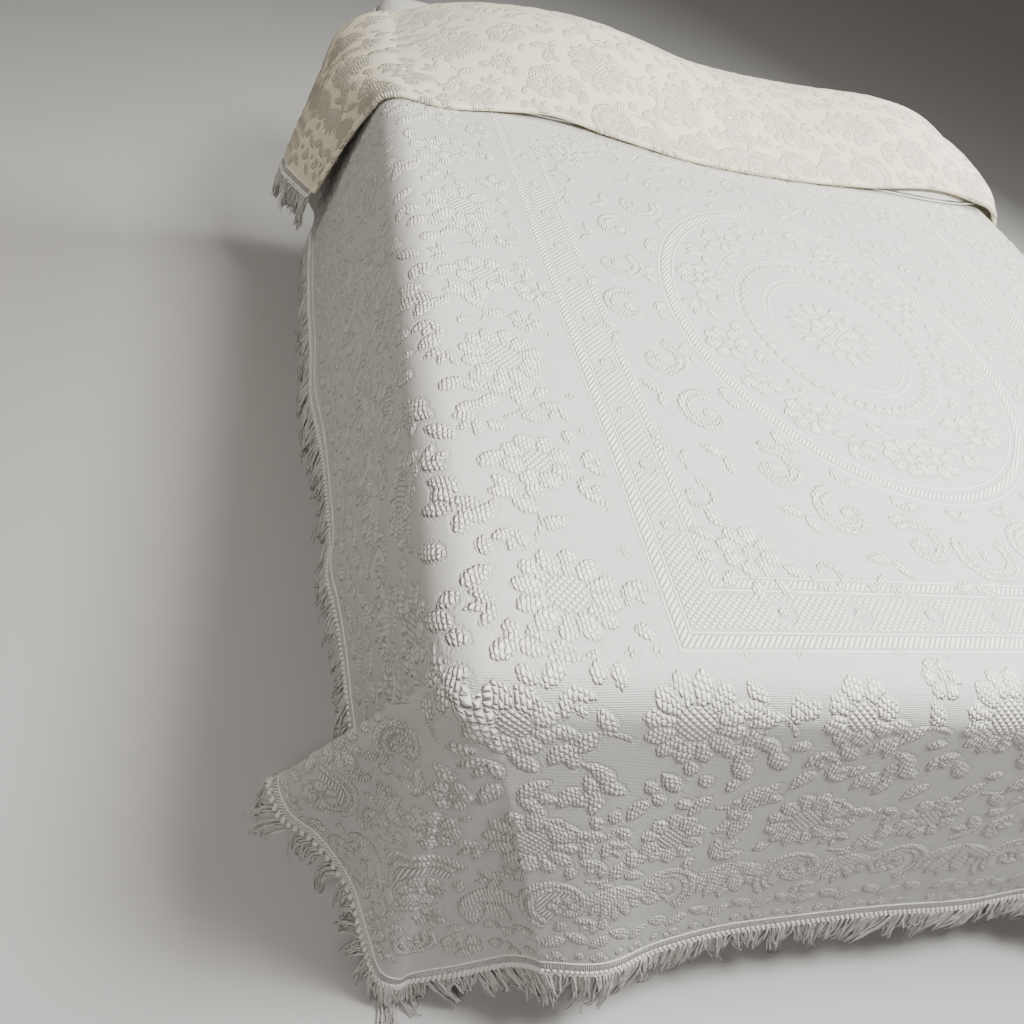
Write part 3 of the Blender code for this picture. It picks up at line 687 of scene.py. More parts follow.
def points_near(place, reach):
    """Those rows, which of their points are near, and how far off each lies."""
    rows = rows_near(place[1], reach)
    dx, dq = place_x[rows] - place[0], place_q[rows] - place[1]
    near = (np.abs(dx) < reach) & (np.abs(dq) < reach)
    return rows, near, dx[near], dq[near]


def stamp(kind, figure, place, turn, *sizes):
    """Draw a figure of some sizes at a place (x, q), turned from the x axis."""
    rows, near, dx, dq = points_near(place, 1.4 * sizes[0] + EDGE_REACH)
    u = dx * math.cos(turn) + dq * math.sin(turn)
    v = dq * math.cos(turn) - dx * math.sin(turn)
    drawn = figures[kind][rows]
    drawn[near] = np.maximum(drawn[near], figure(u, v, *sizes))


def disc(u, v, radius):
    return radius - np.hypot(u, v)


def leaf(u, v, length, width, swell=0.8):
    """A leaf that starts at its stem; with more swell it is widest near its end, as a petal."""
    along = np.clip(u / length, 0, 1)
    half = width / 2 * np.sin(np.pi * along ** swell) ** 0.75
    past = np.maximum(-u, u - length)
    return np.where(past > 0, -np.hypot(past, v), 0.9 * (half - np.abs(v)))


def plus(u, v, size):
    half = 0.0026
    return np.maximum(np.minimum(size - np.abs(u), half - np.abs(v)),
                      np.minimum(size - np.abs(v), half - np.abs(u)))


def ribbon(kind, path, first_half, last_half):
    """Draw a band along a path of places, its half width changing from end to end."""
    path = np.array(path)
    halves = np.linspace(first_half, last_half, len(path))
    for k in range(len(path) - 1):
        step = path[k + 1] - path[k]
        rows, near, dx, dq = points_near(path[k], halves[k] + EDGE_REACH + np.abs(step).max())
        t = np.clip((dx * step[0] + dq * step[1]) / (step @ step), 0, 1)
        half = halves[k] + (halves[k + 1] - halves[k]) * t
        drawn = figures[kind][rows]
        drawn[near] = np.maximum(drawn[near], half - np.hypot(dx - t * step[0], dq - t * step[1]))


def scroll(kind, heart, turn, radius, turns, first_half, last_half):
    """A band that winds in to its heart. Turns below 0 wind the other way."""
    t = np.linspace(0, 1, 34)
    angle = turn + 2 * np.pi * turns * t
    far = radius * (1 - 0.72 * t ** 1.3)
    path = np.stack([heart[0] + far * np.cos(angle), heart[1] + far * np.sin(angle)], -1)
    ribbon(kind, path, first_half, last_half)


def off(place, far, turn):
    """A place so far from another, that way."""
    return place[0] + far * math.cos(turn), place[1] + far * math.sin(turn)


def grow(k, place, turn, *sizes):
    """A leaf or petal, by turns of one kind and the other."""
    stamp(("puff", "petal")[k % 2], leaf, place, turn, *sizes)


def fan(place, turn, count, length, width, spread, swell=0.8):
    for k in range(count):
        aside = k - (count - 1) / 2
        own = length * (1 - 0.05 * abs(aside))
        grow(k, place, turn + spread * aside, own, width, swell)


def blossom(place, radius, petals, turn, has_heart):
    """A flower, its heart in the small puffs of the lattice."""
    for k in range(petals):
        way = turn + 2 * math.pi * k / petals
        grow(k, off(place, 0.22 * radius, way), way, 0.80 * radius, 5.3 * radius / petals, 1.5)
    kind, share = ("heart", 0.40) if has_heart else ("puff", 0.22)
    stamp(kind, disc, place, 0.0, share * radius)


def leaves_round(place, radius, turns, length, width):
    for k, turn in enumerate(turns):
        grow(k + 1, off(place, radius, turn), turn, length, width)


def sprig(place, turn, bend, count, length=0.042, width=0.023):
    """A curved twig with leaves on both sides and one at its tip."""
    path = [place]
    for k in range(count * 4):
        way = turn + bend * k / (count * 4)
        path.append(off(path[-1], 0.0052, way))
        if k % 4 == 3:
            side = 1 if k % 8 == 3 else -1
            grow(side > 0, path[-1], way + 0.85 * side, length, width)
    grow(0, path[-1], turn + bend, length, width)
    ribbon("puff", path[::2], 0.0034, 0.0030)


def border_unit(at):
    """One repeat of the border. at(s, t, angle) turns a place along and out into (x, q), turn."""
    winding = at(0, 0, 1.0)[1] - at(0, 0, 0.0)[1]
    for s in (0.03, 0.17, 0.24, 0.38):
        stamp("puff", plus, *at(s, 0.030, 0.0), 0.009)
    for s, t, radius, petals in ((0.105, 0.115, 0.066, 12), (0.315, 0.108, 0.050, 8),
                                 (0.325, 0.322, 0.064, 12), (0.115, 0.335, 0.054, 10)):
        place, turn = at(s, t, 0.3)
        blossom(place, radius, petals, turn, radius > 0.045)
    for s, t, angle, bend, count in ((0.185, 0.135, -0.6, 1.5, 4), (0.03, 0.10, 2.2, -1.2, 3),
                                     (0.245, 0.175, 2.5, -1.3, 3), (0.395, 0.135, -1.2, 1.1, 3),
                                     (0.205, 0.300, 0.9, -1.7, 4), (0.055, 0.275, 2.8, 1.2, 3),
                                     (0.255, 0.405, 2.9, 1.1, 4), (0.395, 0.270, 0.2, 1.3, 3)):
        sprig(*at(s, t, angle), bend * winding, count)
    for k in range(9):
        s = 0.02 + 0.0467 * k
        side = 1 if k % 2 else -1
        t = 0.220 + 0.024 * math.sin(2 * math.pi * s / UNIT)
        grow(k, *at(s, t + 0.010 * side, 0.9 * side), 0.048, 0.025)
    for side in (1, -1):
        heart, turn = at(0.21 + side * 0.090, 0.462, math.pi / 2 - side * math.pi / 2)
        for kind, radius, half in (("puff", 0.066, 0.0064), ("petal", 0.051, 0.0060),
                                   ("twill", 0.036, 0.0085)):
            scroll(kind, heart, turn + winding * 0.9 * side, radius, -0.9 * side * winding,
                   half, 0.8 * half)
        blossom(heart, 0.024, 6, turn, False)
    fan(*at(0.21, 0.425, math.pi / 2), 7, 0.085, 0.026, 0.34)
    fan(*at(0.0, 0.415, math.pi / 2), 7, 0.100, 0.031, 0.33, 1.3)
    for k in range(10):
        for t, lean in ((0.552, 0.5), (0.622, -0.5)):
            lean = lean if k % 2 else -lean
            grow(k, *at(0.012 + 0.042 * k, t - 0.010 * (k % 2), lean), 0.048, 0.026)
        stamp("puff", disc, at(0.033 + 0.042 * k, 0.588, 0.0)[0], 0.0, 0.0095)


def on_side(start):
    return lambda s, t, angle: ((FRAME_X + t, start + s), math.pi / 2 - angle)


def on_foot(start):
    return lambda s, t, angle: ((start + s, 0.028 - FRAME_Q - t), -angle)


def on_head(start, out):
    return lambda s, t, angle: ((start + s, FRAME_Q + out + t), angle)


for k in range(7):
    border_unit(on_side(-FRAME_Q - 0.03 + UNIT * k))
for k in range(2):
    border_unit(on_foot(UNIT * k))
border_unit(on_head(0.02, 0.0))
border_unit(on_head(0.02, 0.60))

# the foot corner of the border: double scrolls round flowers, with twilled fields and fans
for kind in ("puff", "petal", "twill", "heart"):
    inside = (place_x > 0.83) & (place_q < -0.735)
    figures[kind][inside] = -EDGE_REACH
for heart, turn, radius, turns in (
        ((0.925, -1.060), 2.6, 0.084, -0.85), ((1.090, -0.900), 2.0, 0.076, 0.85),
        ((0.885, -0.800), -0.5, 0.050, 0.85), ((1.140, -1.085), 1.2, 0.056, -0.9),
        ((0.985, -1.190), 2.8, 0.042, 0.85), ((1.165, -0.770), 0.2, 0.036, 0.9)):
    scroll("puff", heart, turn, radius, turns, 0.0068, 0.0050)
    scroll("petal", heart, turn, radius - 0.015, 0.85 * turns, 0.0062, 0.0046)
    scroll("twill", heart, turn, radius - 0.031, 0.75 * turns, 0.0085, 0.0060)
    blossom(heart, 0.42 * radius, 6, turn, False)
fan((1.010, -1.010), -0.75, 7, 0.085, 0.026, 0.30, 1.2)
fan((0.965, -0.925), 2.5, 5, 0.062, 0.024, 0.40)
for place, radius, petals in (((1.015, -0.790), 0.052, 10), ((0.870, -0.930), 0.040, 8),
                              ((1.160, -0.985), 0.030, 6), ((1.050, -1.165), 0.030, 6)):
    blossom(place, radius, petals, 0.4, radius > 0.045)

# the lattice frame: a strip of slanted ticks, a field of small lozenges, and a strip of ticks
inward = np.minimum((FRAME_X - place_x) * SIDE_SHRINK, FRAME_Q - np.abs(place_q))
for kind, low, high in (("twill", 0.004, 0.022), ("lattice", 0.029, 0.082),
                        ("twill", 0.090, 0.104)):
    figures[kind] = np.maximum(figures[kind], np.minimum(inward - low, high - inward))
side_middle, foot_middle = FRAME_X - 0.0545 / SIDE_SHRINK, FRAME_Q - 0.0545
places = [(side_middle, (k + 0.5) * DIAMOND_PITCH) for k in range(-5, 5)]
places += [((k + 0.5) * DIAMOND_PITCH, way * foot_middle) for k in range(4) for way in (1, -1)]
for place in places:
    stamp("bare", disc, place, 0.0, 0.017)
    stamp("puff", disc, place, 0.0, 0.0085)

# inside the frame: rings round an oval middle, a garland, a ring of scrolls and corner sprays
RING_X, RING_Q = 0.300, 0.385


def ring(count, size, first=0.0):
    """Places round the oval at a size of 1 for the ring's own, with the way out from it."""
    for k in range(count):
        turn = first + 2 * math.pi * k / count
        place = (size * RING_X * math.cos(turn), size * RING_Q * math.sin(turn))
        out = math.atan2(math.sin(turn) / RING_Q, math.cos(turn) / RING_X)
        if place[0] > -0.03:
            yield k, place, out


blossom((0.0, 0.0), 0.050, 8, 0.0, True)
leaves_round((0.0, 0.0), 0.054, [k * np.pi / 8 for k in range(16)], 0.040, 0.020)
for k, place, out in ring(60, 0.50):
    grow(k, place, out, 0.024, 0.021, 1.3)
for k, place, out in ring(40, 0.655):
    grow(k, place, out + (0.9 if k % 2 else -0.9), 0.036, 0.020)
for k, place, out in ring(20, 0.825, 0.1):
    if k % 2:
        blossom(place, 0.043, 8, out, False)
    else:
        sprig(off(place, -0.02, out), out + 1.0, -1.4, 2, 0.036, 0.019)
        leaves_round(place, 0.004, [out + 0.5, out - 0.8, out - 2.0], 0.040, 0.020)
oval = [(RING_X * 1.03 * math.cos(turn), RING_Q * 1.03 * math.sin(turn))
        for turn in np.linspace(-1.65, 1.65, 60)]
ribbon("twill", oval, 0.0075, 0.0075)
for k, place, out in ring(48, 1.105, math.pi / 48):
    grow(k, place, out + (1.0 if k % 2 else -1.0), 0.034, 0.018)
for k, place, out in ring(24, 1.325):
    for kind, radius in (("puff", 0.050), ("petal", 0.036)):
        scroll(kind, place, out + 2.2, radius, 0.85 if k % 2 else -0.85, 0.0064, 0.0044)
    stamp("puff", disc, place, 0.0, 0.011)
for k, place, out in ring(24, 1.47, math.pi / 24):
    grow(1, place, out + math.pi / 2 - 0.5, 0.042, 0.020)
    grow(0, place, out - math.pi / 2 + 0.6, 0.038, 0.019)
for side in (1, -1):
    spray = (0.385, 0.520 * side)
    blossom(spray, 0.044, 8, 0.3, False)
    leaves_round(spray, 0.046, [side * (0.78 + k * 0.62) for k in range(-3, 4)], 0.036, 0.020)
    scroll("puff", (0.285, 0.550 * side), 0.4 * side, 0.028, 0.9 * side, 0.0055, 0.004)
    scroll("puff", (0.425, 0.425 * side), -2.0 * side, 0.028, -0.9 * side, 0.0055, 0.004)
    sprig((0.420, 0.380 * side), -1.4 * side, 0.5 * side, 3, 0.028, 0.014)
    sprig((0.255, 0.560 * side), math.pi, -0.4 * side, 3, 0.028, 0.014)

# small flowers, leaves and crosses in what is left of the border's ground
CLEAR = 0.0005               # a figure may reach this far into another's room
luck = random.Random(5)
left_half = slice(0, LEFT_LINES + TOP_LINES // 2)


def is_clear(x, q, room):
    rows = rows_near(q, room)
    dx, dq = place_x[rows, left_half] - x, place_q[rows, left_half] - q
    near = (np.abs(dx) < room) & (np.abs(dq) < room)
    return covered[rows, left_half][near].max(initial=-1) < CLEAR


for room, attempts in ((0.044, 1200), (0.034, 1500), (0.026, 3000), (0.019, 4500), (0.014, 4500)):
    covered = np.maximum.reduce([figures[kind] for kind in KINDS])
    for attempt in range(attempts):
        if attempt % 3:
            x, q = luck.uniform(0.0, 1.180), luck.uniform(-1.225, 1.75)
        else:
            x, q = luck.uniform(0.62, 1.180), luck.uniform(-1.225, -0.60)
        in_border = x > FRAME_X + 0.030 or abs(q) > FRAME_Q + 0.030
        if not in_border or not is_clear(x, q, room):
            continue
        turn = luck.uniform(0, 2 * math.pi)
        start = off((x, q), -0.8 * room, turn)
        if room > 0.02 and luck.random() < 0.55:
            blossom((x, q), 1.05 * room, 6, turn, False)
        elif room > 0.015:
            fan(start, turn, 3, 2.0 * room, 0.9 * room, 0.75)
        else:
            grow(0, start, turn, 2.1 * room, 1.5 * room)
        rows = rows_near(q, room)
        for kind in ("puff", "petal"):
            covered[rows] = np.maximum(figures[kind][rows], covered[rows])
figures["puff"] = np.minimum(figures["puff"], -figures["heart"])
figures["petal"] = np.minimum(figures["petal"], -np.maximum(figures["puff"], figures["heart"]))
figures["lattice"] = np.maximum(np.minimum(figures["lattice"], -figures["bare"]), figures["heart"])
covered = np.maximum(figures["puff"], figures["petal"])
figures["twill"] = np.minimum(figures["twill"], 0.001 - covered)

# The cloth's middle, and the way out of its face, on the whole grid at once. A figure is raised
# on the face, and a little less on the back.
PUFF_HIGH, LATTICE_HIGH, TWILL_HIGH = 0.0015, 0.0009, 0.0006
BACK_SHARE = 0.7


def outward(points):
    return unit(np.cross(np.gradient(points, axis=1), np.gradient(points, axis=0)))


def soft_step(values, low, high):
    t = np.clip((values - low) / (high - low), 0, 1)
    return t * t * (3 - 2 * t)


middle = cloth(flat_a, flat_b)
out = outward(middle)
lift = np.maximum.reduce([PUFF_HIGH * soft_step(covered, -0.001, 0.0045),
                          LATTICE_HIGH * soft_step(figures["lattice"], -0.001, 0.003),
                          TWILL_HIGH * soft_step(figures["twill"], -0.001, 0.003)])
hem_near = np.minimum(HALF_WIDTH - np.abs(flat_a), flat_b)
lift *= soft_step(hem_near, 0.006, 0.014)
coded = np.stack([figures[kind] for kind in ("puff", "petal", "twill", "lattice")], -1)
coded = 0.5 + np.clip(coded, -EDGE_REACH, EDGE_REACH) / (2 * EDGE_REACH)


def cloth_piece(name, columns, rows, is_face, material):
    """A block of the cloth as a closed piece: a fine side with the relief, and a plain one."""
    columns, rows = slice(columns[0], columns[1] + 1), slice(rows[0], rows[1] + 1)
    height, width = rows.stop - rows.start, columns.stop - columns.start
    kept_rows, kept_columns = [np.append(np.arange(0, count - 1, COARSE), count - 1)
                               for count in (height, width)]
    kept = np.ix_(kept_rows, kept_columns)
    fine = np.arange(height * width).reshape(height, width)
    coarse = fine.size + np.arange(len(kept_rows) * len(kept_columns)).reshape(len(kept_rows), -1)

    def both(upper, lower):
        """A value for each point: the fine side's points, and then the plain side's."""
        size = upper.shape[-1]
        return np.concatenate([upper[rows, columns].reshape(-1, size),
                               lower[rows, columns][kept].reshape(-1, size)])

    def cells(grid, forwards):
        corners = [grid[:-1, :-1], grid[:-1, 1:], grid[1:, 1:], grid[1:, :-1]]
        return np.stack([c.ravel() for c in (corners if forwards else corners[::-1])], -1).tolist()

    faces = cells(fine, is_face) + cells(coarse, not is_face)
    wall_start = len(faces)
    edges = ((fine[0], coarse[0], kept_columns), (fine[:, -1], coarse[:, -1], kept_rows),
             (fine[-1, ::-1], coarse[-1, ::-1], width - 1 - kept_columns[::-1]),
             (fine[::-1, 0], coarse[::-1, 0], height - 1 - kept_rows[::-1]))
    for upper, lower, met in edges:
        for k in range(len(lower) - 1):
            rim = upper[met[k]:met[k + 1] + 1]
            wall = [(lower[k], lower[k + 1], rim[-1])]
            wall += [(lower[k], rim[j + 1], rim[j]) for j in range(len(rim) - 1)]
            faces += wall if is_face else [face[::-1] for face in wall]

    way = 1.0 if is_face else -1.0
    thick = CLOTH_THICK / 2 + lift * (1.0 if is_face else BACK_SHARE)
    raised, plain = middle + out * (way * thick)[..., None], middle - out * (way * CLOTH_THICK / 2)
    made = mesh_object(name, both(raised, plain) + BED_PLACE, faces, material)
    mesh = made.data
    corners = np.zeros(len(mesh.loops), np.int32)
    mesh.loops.foreach_get("vertex_index", corners)
    normals = both(outward(raised) * way, -out * way)[corners]
    for face in mesh.polygons[wall_start:]:
        normals[face.loop_start:face.loop_start + face.loop_total] = face.normal
    mesh.normals_split_custom_set(normals.tolist())
    flat = np.stack([pattern_a, pattern_b], -1)
    flat = both(flat, flat)[corners].astype(np.float32)
    mesh.uv_layers.new(name="flat_metres").data.foreach_set("uv", flat.ravel())
    codes = mesh.attributes.new("figures", "FLOAT_COLOR", "POINT")
    codes.data.foreach_set("color", both(coded, coded).astype(np.float32).ravel())
    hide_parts("bedspread")
    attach(made, "root")
    return made


PUFF_WIDE, PUFF_LONG = 0.0058, 0.0096
LOZENGE = 0.0100
TICK_PITCH = 0.0078
RIB_WIDE = 0.0026
CORD_HALF = 0.0024
FRAME_CORDS = (0.0, 0.0255, 0.0865, 0.1070)
OVAL_CORDS = (0.40, 0.435, 0.60, 0.71, 0.985, 1.07)


def matelasse_relief(tree):
    """What the face and the back share: flat places, relief, ribs, painted shade in the cracks, and
    what hangs.
    """
    flat = tree.node("ShaderNodeUVMap", {"uv_map": "flat_metres"})
    a, b = flat.part(0), flat.part(1)
    code = {"attribute_name": "figures"}
    puff, petal, twill = [(part - 0.5) * (2 * EDGE_REACH)
                          for part in tree.node("ShaderNodeAttribute", code, None, 1).parts()]
    lattice = (tree.node("ShaderNodeAttribute", code, None, 3) - 0.5) * (2 * EDGE_REACH)
    twill, lattice = twill.between(-0.0006, 0.0014), lattice.between(-0.0006, 0.0014)

    # the puffs of a figure, and its lobed outline, lie in upright columns and level rows, a
    # little uneven
    stir, sway = flat.noise(34.0, 2.0), flat.noise(47.0, 2.0)
    column = (a + stir * 0.012) * (1 / PUFF_WIDE)
    row = (b + sway * 0.018) * (1 / PUFF_LONG) + column.whole() * 0.37
    brick = column.bulge(2.4) * row.bulge(3.0)
    edge = puff.larger(petal) + (brick - 0.6) * 0.0022
    figure = edge.between(-0.0012, 0.0040)
    small = ((a + b) * (1 / LOZENGE)).bulge() * ((a - b) * (1 / LOZENGE)).bulge()
    ticks = ((a - b * 0.8 + stir * 0.002) * (1 / TICK_PITCH)).bulge()

    # the cords beside the lattice frame and round the oval
    q = b - MIDDLE_B
    inward = tree.math("MINIMUM", (FRAME_X - a.size()) * SIDE_SHRINK, FRAME_Q - q.size())
    oval = (a * a * (1 / RING_X ** 2) + q * q * (1 / RING_Q ** 2)).root()
    distances = [inward - away for away in FRAME_CORDS]
    distances += [(oval - size) * (0.5 * (RING_X + RING_Q)) for size in OVAL_CORDS]
    cords = 0.0
    for distance in distances:
        cord = 1.0 - distance.size().between(CORD_HALF * 0.35, CORD_HALF)
        cords = cord.larger(cords)
    cords = cords * (1.0 - figure)

    raised = (figure * (brick * 0.80 + 0.25)).larger(lattice * (small * 0.85 + 0.05))
    raised = raised.larger(twill * (ticks * 0.70 + 0.05)).larger(cords * 0.5)
    drawn_in = edge.between(-0.0060, -0.0012) * (1.0 - figure)
    woven = figure.larger(lattice).larger(twill)
    # painted shade: the cloth is coloured darker in the cracks between the puffs and along the
    # drawn-in stitch lines
    crack_shade = (woven * (1.0 - raised.between(0.05, 0.45)) * 0.34).larger(drawn_in * 0.14)
    # the puffs stand taller where the cloth hangs than where it is drawn flat over the bed
    hanging = a.size().between(0.68, 0.78).larger(1.0 - b.between(0.43, 0.53))
    relief = (raised - drawn_in * 0.16) * (hanging * 1.1 + 1.0)
    return flat, relief, (1.0 - woven) * b.wave(RIB_WIDE), crack_shade, hanging


def white_face(tree):
    flat, relief, ribs, crack_shade, hanging = matelasse_relief(tree)
    thread = flat.noise(900.0, 2.0)
    ground = flat.noise(2.2, 3.0).mix((0.600, 0.598, 0.574), (0.645, 0.643, 0.619))
    # painted shade: the ground is coloured darker where the cloth hangs down the sides and the foot
    ground = hanging.mix(ground, (0.530, 0.525, 0.500))
    # painted light and shade: the raised puffs are coloured much lighter than the sunken ground
    # between them
    puffs = relief.between(0.02, 0.40).mix(ground, (0.935, 0.920, 0.862))
    # painted shade in the cracks, darker and warmer
    return (crack_shade.mix(puffs, (0.560, 0.535, 0.490)), thread * 0.12 + 0.82,
            relief + ribs * 0.12 + thread * 0.20, 0.0040)


def cream_back(tree):
    flat, relief, ribs, crack_shade, _ = matelasse_relief(tree)
    thread = flat.noise(700.0, 2.0)
    cream = flat.noise(3.0, 4.0).mix((0.895, 0.820, 0.635), (0.930, 0.860, 0.690))
    # painted light: the raised figures of the back are coloured lighter than the cream ground
    wear_and_painted_light = relief.between(0.05, 0.50).mix(cream, (0.985, 0.925, 0.765))
    # painted shade in the cracks, darker and browner
    return ((crack_shade * 0.12).mix(wear_and_painted_light, (0.640, 0.570, 0.450)), thread * 0.12 + 0.84,
            relief + ribs * 0.10 + thread * 0.12, 0.0046)


face_cotton = finish("white_matelasse_face", white_face)
back_cotton = finish("cream_matelasse_back", cream_back)
column_cuts = [0, *np.cumsum([LEFT_LINES, TOP_LINES, RIGHT_LINES]).tolist()]
row_cuts = [0, *np.cumsum([FOOT_LINES, BED_LINES, OVER_LINES]).tolist()]
bed_rows, all_columns = row_cuts[1:3], (0, column_cuts[3])
blocks = [
    # name, columns, rows, whether the face shows
    ("bedspread_top", column_cuts[1:3], bed_rows, True),
    ("bedspread_left_fall", column_cuts[0:2], bed_rows, True),
    ("bedspread_right_fall", column_cuts[2:4], bed_rows, True),
    ("bedspread_foot_fall", all_columns, row_cuts[0:2], True),
    ("bedspread_turned_back", all_columns, row_cuts[2:4], False),
]
for name, columns, rows, is_face in blocks:
    cotton = face_cotton if is_face else back_cotton
    cloth_piece(name, columns, rows, is_face, cotton)

# The rolled edge: the cloth is rolled over a thin filler cord along its sides and its foot,
# which makes a firm round piping of about 4 to 5 mm.
HEM_HALF = 0.0028
HEM_IN = 0.0012              # its middle, in from the cloth's edge
HEM_STEPS = 1240
HEM_END = CLOTH_LENGTH - TUCK_LENGTH - 0.03


def up_the_side(b):
    return CORNER_START + CORNER_LENGTH + b - CORNER_ROUND


def edge_at(places):
    """The cloth's edge for places along it: point, way on past it, way out of the face, run."""
    s = np.abs(places)
    side = np.sign(places)
    turn = np.clip((s - CORNER_START) / CORNER_ROUND, 0, np.pi / 2)
    up = np.maximum(s - CORNER_START - CORNER_LENGTH, 0)
    a = side * (np.minimum(s, CORNER_START) + CORNER_ROUND * np.sin(turn))
    b = CORNER_ROUND * (1 - np.cos(turn)) + up
    near = 0.012
    point = cloth(a, b)
    way = unit(cloth(a + side * np.sin(turn) * near, b - np.cos(turn) * near) - point)
    run = unit(np.gradient(point, axis=0))
    return point + BED_PLACE, way, unit(np.cross(way, run)), run


def rolled_cotton(tree):
    place = on_object(tree)
    x, y, z = place.parts()
    lay = ((x + y + z) * (1 / 0.0024)).bulge()
    return (place.noise(20.0).mix((0.84, 0.82, 0.76), (0.88, 0.86, 0.80)), lay * 0.1 + 0.8,
            lay * 0.5 + place.noise(600.0) * 0.4, 0.0005)


hem_end = up_the_side(HEM_END)
hem_places = np.linspace(-hem_end, hem_end, HEM_STEPS)
point, way, _, _ = edge_at(hem_places)
rolled_edge = mesh_object("bedspread_rolled_edge", *tubes([point - way * HEM_IN], [HEM_HALF], 8),
                          finish("rolled_cotton", rolled_cotton))
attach(rolled_edge, "root")

# The fringe: bought by the metre and sewn on outside the piping. It is a ribbed heading
# braid, two rows of small knots, and locks of loose twisted yarn that are uneven in length.
HEADING_GAP = 0.0004
HEADING_STEP = 0.006
HEADING_WIDTH = 0.018
HEADING_HALF = 0.0018
FRINGE_GAP = 0.004
FRINGE_CLEAR = 0.03
FOOT_FRINGE_UP = 0.62
RIB_PITCH = 0.0044
KNOT_PITCH = 0.0104
KNOT_WIDE, KNOT_LONG, KNOT_THICK = 0.0044, 0.0043, 0.0052
KNOT_SIDES = 5
KNOT_ROWS = ((HEADING_WIDTH + 0.0035, 0.5), (HEADING_WIDTH + 0.0112, 1.0))
LOCK_PITCH = 0.0262
LOCK_YARNS = 13
LOOSE_THREADS = 2
LOCK_LENGTH = 0.086
NEAR_FLOOR = 0.14            # below this the locks are longer and fuller
YARN_RADII = (0.0014, 0.0018, 0.0018, 0.0012)
THREAD_RADII = (0.0007, 0.0007)
YARN_STEPS = 8
YARN_BESIDE = (0.31, 0.83, 0.46)
LAY_STEP, LAY_SHIFT = 0.008, 0.37
FLOOR_CLEAR = 0.004


def fringe_cotton(tree):
    round_it, along, _ = tree.node("ShaderNodeUVMap", {"uv_map": "lay"}).parts()
    ply = (round_it * 3.0 + along * 55.0).bulge()
    thread = (round_it * 9.0 + along * 90.0).bulge()
    place = on_object(tree)
    fuzz = place.noise(420.0, 3.0)
    # painted shade: each yarn is coloured darker in the grooves between its plies
    shade = ply.mix((0.55, 0.535, 0.505), (0.80, 0.785, 0.75))
    return ((place.noise(18.0, 3.0) * 0.5).mix(shade, (0.66, 0.645, 0.61)), fuzz * 0.1 + 0.85,
            ply * 0.8 + thread * 0.35 + fuzz * 0.5, 0.0012)


def ribbed_braid(tree):
    lay = tree.node("ShaderNodeUVMap", {"uv_map": "lay"})
    rib = (lay.part(1) * (1 / RIB_PITCH)).bulge()
    fuzz = on_object(tree).noise(500.0, 2.0)
    # painted shade: the braid is coloured darker in the grooves between its ribs
    return (rib.mix((0.50, 0.485, 0.455), (0.84, 0.825, 0.79)), fuzz * 0.1 + 0.82,
            rib + fuzz * 0.2, 0.0034)


braid = finish("ribbed_heading_braid", ribbed_braid)
yarn = finish("twisted_fringe_yarn", fringe_cotton)


def piece_of_yarn(name, parts, material):
    """One piece from several meshes: points, faces, and (round, along) for each face corner."""
    points, faces, lay = [], [], []
    for part_points, part_faces, part_lay in parts:
        faces += [tuple(i + len(points) for i in face) for face in part_faces]
        points += list(part_points)
        lay += part_lay
    made = mesh_object(name, points, faces, material)
    layer = made.data.uv_layers.new(name="lay")
    layer.data.foreach_set("uv", np.array(lay, np.float32).ravel())
    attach(made, "root")
    return made


def heading(start, end):
    """The braid: a flat bar that follows the edge."""
    count = max(8, int((end - start) / HEADING_STEP))
    places = np.linspace(start, end, count)
    point, way, away, _ = edge_at(places)
    section = ((0.0, -1.0), (0.0, 1.0), (0.35, 1.35), (0.7, 1.35),
               (1.0, 1.0), (1.0, -1.0), (0.7, -1.35), (0.35, -1.35))
    rings = [point + way * (HEADING_GAP + u * (HEADING_WIDTH - HEADING_GAP))
             + away * (HEADING_HALF * v) for u, v in section]
    sides = len(section)
    points = np.stack(rings, 1).reshape(-1, 3)
    faces, lay = [], []
    for k in range(count - 1):
        for s in range(sides):
            n = (s + 1) % sides
            here, there = k * sides, (k + 1) * sides
            faces.append((here + s, here + n, there + n, there + s))
            lay += [(0, places[k])] * 2 + [(0, places[k + 1])] * 2
    faces.append(list(range(sides))[::-1])
    faces.append([(count - 1) * sides + s for s in range(sides)])
    lay += [(0, places[0])] * sides + [(0, places[-1])] * sides
    return points, faces, lay


def knots(start, end):
    """Two staggered rows of small knots under the braid."""
    ball = [(0.0, 0.0, 1.0)]
    for level, radius in ((0.6, 0.8), (0.0, 1.0), (-0.6, 0.8)):
        ball += [(*off((0.0, 0.0), radius, 2 * math.pi * s / KNOT_SIDES), level)
                 for s in range(KNOT_SIDES)]
    ball = np.array(ball + [(0.0, 0.0, -1.0)])
    last = len(ball) - 1
    faces = []
    for s in range(KNOT_SIDES):
        n = (s + 1) % KNOT_SIDES
        faces += [(0, 1 + s, 1 + n), (last - KNOT_SIDES + s, last, last - KNOT_SIDES + n)]
    faces += ring_faces(1, 3, KNOT_SIDES)
    points, all_faces = [], []
    for down, first in KNOT_ROWS:
        places = np.arange(start + first * KNOT_PITCH, end - 0.4 * KNOT_PITCH, KNOT_PITCH)
        point, way, away, run = edge_at(places)
        for k in range(len(places)):
            size = np.stack([run[k] * KNOT_WIDE, way[k] * KNOT_LONG, away[k] * -KNOT_THICK])
            all_faces += [tuple(len(points) + i for i in face) for face in faces]
            points += list(point[k] + way[k] * down + ball @ size)
    lay = [(1 / 6, 0.0) for face in all_faces for corner in face]
    return points, all_faces, lay


